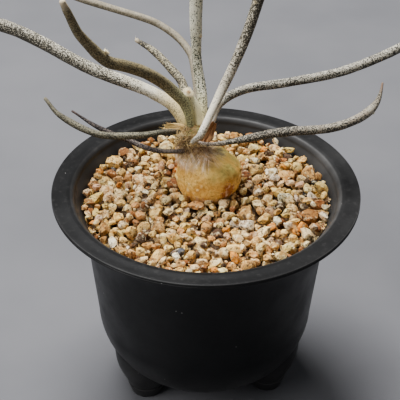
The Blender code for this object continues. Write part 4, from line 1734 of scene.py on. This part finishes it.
@dataclass
class Wool:
    """The woolly tufts: a disc on the stub's end, a pad at the arching one's elbow, dots and a few hairs.

    A dot is a tubercle, a distance from its seat, a side of it and a size.
    """

    disc_facing: tuple = (0.05, -0.55, 0.83)
    disc_halves: tuple = (2.3, 1.9, 0.8)
    dots: tuple = (
        ("upright", 33.0, 50.0, 0.5), ("left_long", 92.0, 60.0, 0.6), ("right_long", 93.0, 70.0, 0.5),
        ("right_low", 70.0, 60.0, 0.45), ("right_rising", 60.0, -40.0, 0.5))
    elbow: tuple = (-36.9, -8.0, 159.9)
    elbow_facing: tuple = (0.70, 0.38, 0.60)
    elbow_run: tuple = (-0.5, -0.3, 0.8)
    elbow_halves: tuple = (1.3, 1.0, 0.7)
    hairs_at_tip: int = 16
    chance: np.random.Generator = seeded(21)

    def tuft(self, place: Array, outward: Array, spread: float, length: float, count: int) -> Surface:
        """A tuft of short curled hairs.

        Args:
            place: Its middle.
            outward: The way it faces.
            spread: The radius that it covers.
            length: How long its hairs are.
            count: How many hairs it has.

        Returns:
            The hairs.
        """
        across = unit(np.cross(outward, np.array((0.3, 0.2, 0.93))))
        other = np.cross(outward, across)
        turn = self.chance.uniform(0, math.tau, (count, 1))
        share = np.sqrt(self.chance.random((count, 1)))
        radial = np.cos(turn) * across + np.sin(turn) * other
        roots = place + radial * spread * share - outward * (0.15 + 0.45 * spread * share ** 2)
        wander = self.chance.normal(0, 0.35, (count, 3)) * length
        middles = roots + outward * length * 0.7 + radial * (share * length * 0.35) + wander * 0.5
        reach = length * self.chance.uniform(0.7, 1.1, (count, 1))
        tips = roots + outward * reach + radial * (share * length * 0.8) + wander
        return hairs(roots, middles, tips, self.chance.uniform(0.06, 0.11, count), 4)

    def cushion(self, place: Array, outward: Array, along: Array, halves: tuple) -> Surface:
        """The dense wool under a tuft: an oval, lumpy pad.

        Args:
            place: Its middle.
            outward: The way it faces.
            along: The way it is long, as far as its face allows.
            halves: Its half length, half width and half thickness.

        Returns:
            The closed pad.
        """
        side = unit(np.cross(outward, along))
        run = np.cross(side, outward)
        shell = turned(arc((0, 0), 1, -80, 80, 13), 26)
        shell = shell * (1 + 0.10 * noise(shell * 3.0, 1.0, 91))[..., None] * np.array(halves)
        grid = place + shell @ np.stack((run, side, outward))
        surface = capped(grid, grid[0].mean(axis=0), grid[-1].mean(axis=0))
        surface.marks = {"along": np.full(len(surface.points), 0.6)}
        return surface

    def tip_hairs(self, withered: Tubercle) -> Surface:
        """The few dry hairs at the end of the withered tubercle.

        Args:
            withered: The tubercle.

        Returns:
            The hairs.
        """
        route, _, radius = withered.path()
        count = self.hairs_at_tip
        pick = self.chance.integers(len(route) - 7, len(route), count)
        outward = unit(self.chance.normal(size=(count, 3)) + np.array((-0.9, -0.3, 0.5)))
        roots = route[pick] + outward * radius[pick, None] * 0.9
        drift = self.chance.normal(0, 0.35, (count, 3))
        reach = outward * self.chance.uniform(0.6, 1.4, (count, 1))
        return hairs(roots, roots + reach * 0.5, roots + reach + drift, np.full(count, 0.08))

    def build(self, tubercles: dict[str, Tubercle]) -> None:
        """Make the wool.

        Args:
            tubercles: The tubercles by name.
        """
        cream = DryFibre("cream_wool", (0.93, 0.81, 0.50), (0.99, 0.93, 0.69), 0.9).material()
        amber = DryFibre("amber_wool", (0.78, 0.48, 0.22), (0.92, 0.70, 0.42), 0.9).material()
        route = tubercles["stub"].path()[0]
        heading = unit(route[-1] - route[-3])
        facing = unit(np.array(self.disc_facing))
        lean = unit(heading - facing * (heading @ facing))
        disc = route[-1] + facing * tubercles["stub"].plan.tip + lean * 0.5
        parts = [self.cushion(disc, facing, lean, self.disc_halves)]
        for shift in (-0.8, 0.8):
            parts.append(self.tuft(disc + facing * 0.45 + lean * shift, facing, 1.3, 0.8, 200))
        for name, distance, side, size in self.dots:
            place, outward = tubercles[name].place(distance, side)
            parts.append(self.tuft(place, outward, size, 0.5, int(130 * size)))
        elbow, away = np.array(self.elbow), unit(np.array(self.elbow_facing))
        parts.append(self.cushion(elbow, away, unit(np.array(self.elbow_run)), self.elbow_halves))
        parts.append(self.tuft(elbow + away * 0.2, away, 1.0, 0.7, 140))
        add_piece("areole_wool", joined(parts), cream, "dry_scale")
        middle = self.tuft(disc + facing * 0.9 - lean * 0.2, facing, 0.5, 0.5, 60)
        add_piece("stub_areole", middle, amber, "dry_scale")
        loose = self.tip_hairs(tubercles["left_withered"])
        add_piece("withered_tip_hair", loose, cream, "dry_scale")


@dataclass
class CrownFibres:
    """The dead fibres round the crown: tangled clumps in front of it, and strands down over the shoulder."""

    caudex: Caudex
    chance: np.random.Generator = seeded(33)

    def strands(
            self, count: int, middle: float, spread: float, top: float, drop: float, proud: float,
            width: float) -> Surface:
        """Strands that run from the crown down over the shoulder.

        Args:
            count: How many there are.
            middle: The azimuth that they gather about, in degrees.
            spread: How widely they scatter about it.
            top: The height that they start about.
            drop: How far down they reach at most.
            proud: How far they stand off.
            width: Their radius.

        Returns:
            The strands.
        """
        azimuth = np.radians(self.chance.normal(middle, spread, count))
        start = top + self.chance.uniform(-2.2, 2.8, count)
        fall = drop * self.chance.uniform(0.2, 1.0, count)
        drift = np.radians(self.chance.normal(0, 16, count))
        roots = self.caudex.point(azimuth, start, self.chance.uniform(-0.2, 0.3, count))
        lift = proud * self.chance.uniform(0.2, 1.4, count)
        middles = self.caudex.point(azimuth + drift * 0.6, start - fall * 0.5, lift)
        lift = proud * self.chance.uniform(0.0, 0.9, count) ** 1.5
        tips = self.caudex.point(azimuth + drift, start - fall, lift)
        return hairs(roots, middles, tips, width * self.chance.uniform(0.6, 1.3, count), 6)

    def tangle(
            self, count: int, middle: tuple, spread: tuple, length: float, width: float,
            lie: tuple = (1.0, 0.6, 0.9)) -> Surface:
        """Curled fibres that cross each other inside an oval cloud.

        Args:
            count: How many there are.
            middle: The middle of the cloud.
            spread: How far they scatter along each axis.
            length: How long they are at most.
            width: Their radius.
            lie: How strongly they run along each axis.

        Returns:
            The fibres.
        """
        scatter = np.clip(self.chance.normal(0, 1, (count, 3)), -1.8, 1.8)
        places = np.array(middle) + scatter * np.array(spread)
        heading = unit(self.chance.normal(0, 1, (count, 3)) * np.array(lie))
        half = length * self.chance.uniform(0.35, 1.0, (count, 1)) / 2
        bend = self.chance.normal(0, 0.5, (count, 3)) * half
        girth = width * self.chance.uniform(0.6, 1.3, count)
        return hairs(places - heading * half, places + bend, places + heading * half, girth, 6)

    def build(self) -> None:
        """Make the fibres, in a pale and a brown lot."""
        brown = DryFibre("brown_fibre", (0.12, 0.068, 0.034), (0.36, 0.23, 0.13)).material()
        straw = DryFibre("straw_fibre", (0.62, 0.43, 0.16), (0.90, 0.72, 0.42)).material()
        dark = joined([
            self.tangle(64, (-9.0, 3.0, 114.6), (1.8, 0.9, 1.7), 5.0, 0.13),
            self.tangle(30, (-8.6, 1.6, 111.6), (1.6, 0.5, 0.7), 3.6, 0.10),
            self.tangle(34, (-4.4, 1.4, 113.6), (1.5, 0.6, 0.6), 3.4, 0.10),
            self.tangle(26, (0.8, 1.2, 113.8), (2.2, 0.5, 0.4), 4.0, 0.09, (1.6, 0.4, 0.5)),
            self.strands(20, -112, 44, 110.6, 4.2, 0.35, 0.075),
            self.strands(30, 8, 22, 109.4, 4.4, 0.30, 0.085),
            self.strands(60, 90, 70, 111.0, 4.0, 0.7, 0.09)])
        add_piece("crown_fibres_brown", dark, brown, "dry_scale")
        pale = joined([
            self.tangle(75, (-9.3, 2.6, 115.6), (1.7, 0.9, 1.7), 5.8, 0.13),
            self.tangle(45, (-9.6, 5.6, 119.4), (1.4, 0.8, 0.7), 3.6, 0.11),
            self.tangle(40, (-5.4, 4.4, 117.0), (1.2, 0.5, 0.5), 3.0, 0.10),
            self.tangle(30, (-4.6, 1.0, 114.0), (1.3, 0.5, 0.7), 3.4, 0.10),
            self.tangle(20, (0.8, 1.0, 114.2), (2.2, 0.5, 0.4), 4.5, 0.09, (1.6, 0.4, 0.5)),
            self.strands(70, -108, 36, 110.4, 7.5, 0.35, 0.09),
            self.strands(40, 60, 80, 112.0, 5.0, 1.0, 0.07)])
        add_piece("crown_fibres_straw", pale, straw, "dry_scale")


@dataclass(frozen=True)
class DeadScale:
    """One dead scale: a leaf outline bent hollow, crumpled along its fibres, with a frayed point."""

    name: str
    root: tuple
    end: tuple
    facing: tuple
    width: float
    hollow: float
    crumple: float
    husk: DryHusk
    thickness: float = 0.35
    rows: int = 56
    cells: int = 30
    fringe: int = 70

    def frame(self) -> tuple[Array, Array, Array]:
        """The scale's own three directions.

        Returns:
            Its length as a vector, and the unit directions across it and out of its face.
        """
        along = np.array(self.end) - np.array(self.root)
        across = unit(np.cross(along, np.array(self.facing)))
        return along, across, unit(np.cross(across, along))

    def spread(self, u: Array, v: Array) -> Array:
        """Places on its middle surface.

        The half width follows a raised sine of u; the hollow is a parabola across v less a sine along u;
        the crumple is noise stretched along u.

        Args:
            u: The share of its length.
            v: The share of its half width, from -1 to 1.

        Returns:
            The places.
        """
        along, across, face = self.frame()
        swell = np.sin(math.pi * np.minimum(1.0, 0.30 + 0.70 * u))
        half = self.width / 2 * (0.28 + 0.72 * np.clip(swell, 0, 1) ** 0.8)
        fold = np.stack((v * 3.1, u * 1.4, np.zeros_like(u)), axis=-1)
        fine = np.stack((v * 8.0, u * 1.7, np.zeros_like(u)), axis=-1)
        bow = self.hollow * (v * v - np.sin(math.pi * u))
        bow = bow + self.crumple * (noise(fold, 1.0, 71) + 0.45 * noise(fine, 1.0, 72))
        fray = 0.09 * noise(np.stack((v * 6.5, v * 0, v * 0), axis=-1), 1.0, 73) * u ** 3
        shares = np.stack((u + fray, v * half, bow), axis=-1)
        return np.array(self.root) + shares @ np.stack((along, across, face))

    def shape(self) -> Surface:
        """The thin closed leaf: rings along u, each running over the face and back behind it.

        Returns:
            The surface with its sheet coordinates (across, along) in millimetres.
        """
        along, _, face = self.frame()
        length = float(np.linalg.norm(along))
        row = np.linspace(-1, 1, self.cells)
        there_and_back = np.concatenate((row, row[::-1]))
        side = np.concatenate((np.ones(self.cells), -np.ones(self.cells)))
        side[[0, self.cells - 1, self.cells, -1]] *= 0.35
        u, v = np.broadcast_arrays(np.linspace(0, 1, self.rows)[:, None], there_and_back)
        grid = self.spread(u, v) + (side * self.thickness / 2)[None, :, None] * face
        surface = capped(grid, grid[0].mean(axis=0), grid[-1].mean(axis=0))
        sheet = np.stack((v * self.width / 2, u * length), axis=-1).reshape(-1, 2)
        surface.sheet = np.concatenate((sheet, [(0.0, 0.0), (0.0, length)]))
        return surface

    def build(self) -> None:
        """Make the scale and the loose fibres along its edges."""
        chance, count = np.random.default_rng(len(self.name)), self.fringe
        add_piece(f"{self.name}_leaf", self.shape(), self.husk.material(), "dry_scale", self.name)
        u = chance.uniform(0.1, 1.0, count)
        v = chance.choice((-1.0, 1.0), count) * chance.uniform(0.55, 1.0, count)
        roots = self.spread(u, v)
        drift = chance.normal(0, 0.4, (count, 3))
        reach = unit(self.frame()[0]) * chance.uniform(0.5, 1.9, (count, 1))
        fringe = hairs(roots, roots + reach * 0.6, roots + reach + drift, np.full(count, 0.06), 4)
        finish = DryFibre(f"{self.name}_fringe_look", self.husk.dark, self.husk.light).material()
        add_piece(f"{self.name}_fringe", fringe, finish, "dry_scale")


SCALES = (
    DeadScale(
        "dry_scale_left", (-9.0, 5.4, 118.0), (-16.4, 6.4, 119.0), (-0.1, -0.75, 0.65), 5.0, 0.5, 0.6,
        DryHusk("papery_look", (0.42, 0.26, 0.08), (0.86, 0.62, 0.25))),
    DeadScale(
        "dry_husk_right", (-1.7, 3.2, 113.8), (3.0, 5.8, 121.4), (0.1, -0.85, 0.5), 5.0, 1.0, 0.6,
        DryHusk("husk_look", (0.16, 0.055, 0.015), (0.66, 0.34, 0.13))),
)


# Studio


@dataclass
class Studio:
    """The pale floor, the soft light and the camera at the photo's angle."""

    target: tuple = (-2.351, 0.0, 88.344)
    distance: float = 466.834
    elevation: float = 35.627
    roll: float = 0.505
    lens: float = 103.5
    sensor: float = 36.0
    floor_half: float = 2.5
    floor_dark: Colour = (0.116, 0.117, 0.126)
    floor_light: Colour = (0.134, 0.134, 0.143)
    sky: Colour = (0.86, 0.88, 0.92)
    sky_strength: float = 0.18
    aim: tuple = (0.0, 0.0, 0.1)
    lamps: tuple = (
        ("overhead", (-0.20, 0.38, 1.15), 0.6, 40.0),
        ("fill", (-0.95, -0.55, 0.9), 0.9, 13.0))

    def floor(self) -> None:
        """A wide pale floor under the pot."""
        half = self.floor_half
        mesh = bpy.data.meshes.new("floor")
        corners = [(-half, -half, 0), (half, -half, 0), (half, half, 0), (-half, half, 0)]
        mesh.from_pydata(corners, [], [(0, 1, 2, 3)])
        shader = Shader("floor_look", 0.75, 0.25)
        tone = shader.between(shader.noise(14, 3), 0.3, 0.7)
        mesh.materials.append(shader.finished(shader.mix(tone, self.floor_dark, self.floor_light)))
        floor = bpy.data.objects.new("floor", mesh)
        bpy.context.scene.collection.objects.link(floor)

    def lamp(self, name: str, place: tuple, size: float, power: float) -> None:
        """A square area light that looks at the plant.

        Args:
            name: Its name.
            place: Where it hangs, in metres.
            size: The length of its sides in metres.
            power: Its power in watts.
        """
        data = bpy.data.lights.new(name, "AREA")
        data.shape = "SQUARE"
        data.size = size
        data.energy = power
        lamp = bpy.data.objects.new(name, data)
        lamp.location = place
        aim = Vector(self.aim) - Vector(place)
        lamp.rotation_euler = aim.to_track_quat("-Z", "Y").to_euler()
        bpy.context.scene.collection.objects.link(lamp)

    def camera(self) -> None:
        """The camera, which looks along +Y and down at the photo's angle."""
        data = bpy.data.cameras.new("camera")
        data.lens = self.lens
        data.sensor_width = self.sensor
        camera = bpy.data.objects.new("camera", data)
        rise = math.radians(self.elevation)
        back = Vector((0, -math.cos(rise), math.sin(rise))) * self.distance
        place = (Vector(self.target) + back) * MM
        tilt = Matrix.Rotation(math.radians(90) - rise, 4, "X")
        roll = Matrix.Rotation(math.radians(self.roll), 4, "Z")
        camera.matrix_world = Matrix.Translation(place) @ tilt @ roll
        bpy.context.scene.collection.objects.link(camera)
        bpy.context.scene.camera = camera

    def build(self) -> None:
        """Set up the floor, the light and the camera."""
        self.floor()
        self.camera()
        world = bpy.data.worlds.new("studio")
        world.use_nodes = True
        sky = world.node_tree.nodes["Background"]
        sky.inputs["Color"].default_value = (*self.sky, 1)
        sky.inputs["Strength"].default_value = self.sky_strength
        bpy.context.scene.world = world
        for lamp in self.lamps:
            self.lamp(*lamp)


def main() -> None:
    """Load the solids and build every piece on them."""
    logging.basicConfig(level=logging.INFO, format="%(message)s")
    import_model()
    Studio().build()
    Pot().build()
    Gravel().build()
    caudex = Caudex()
    caudex.build()
    looks = {plan.skin: plan.skin.material() for plan in PLANS}
    tubercles = {plan.name: Tubercle(plan, number) for number, plan in enumerate(PLANS)}
    for tubercle in tubercles.values():
        tubercle.build(looks[tubercle.plan.skin])
    Wool().build(tubercles)
    CrownFibres(caudex).build()
    for scale in SCALES:
        scale.build()


if __name__ == "__main__":
    main()
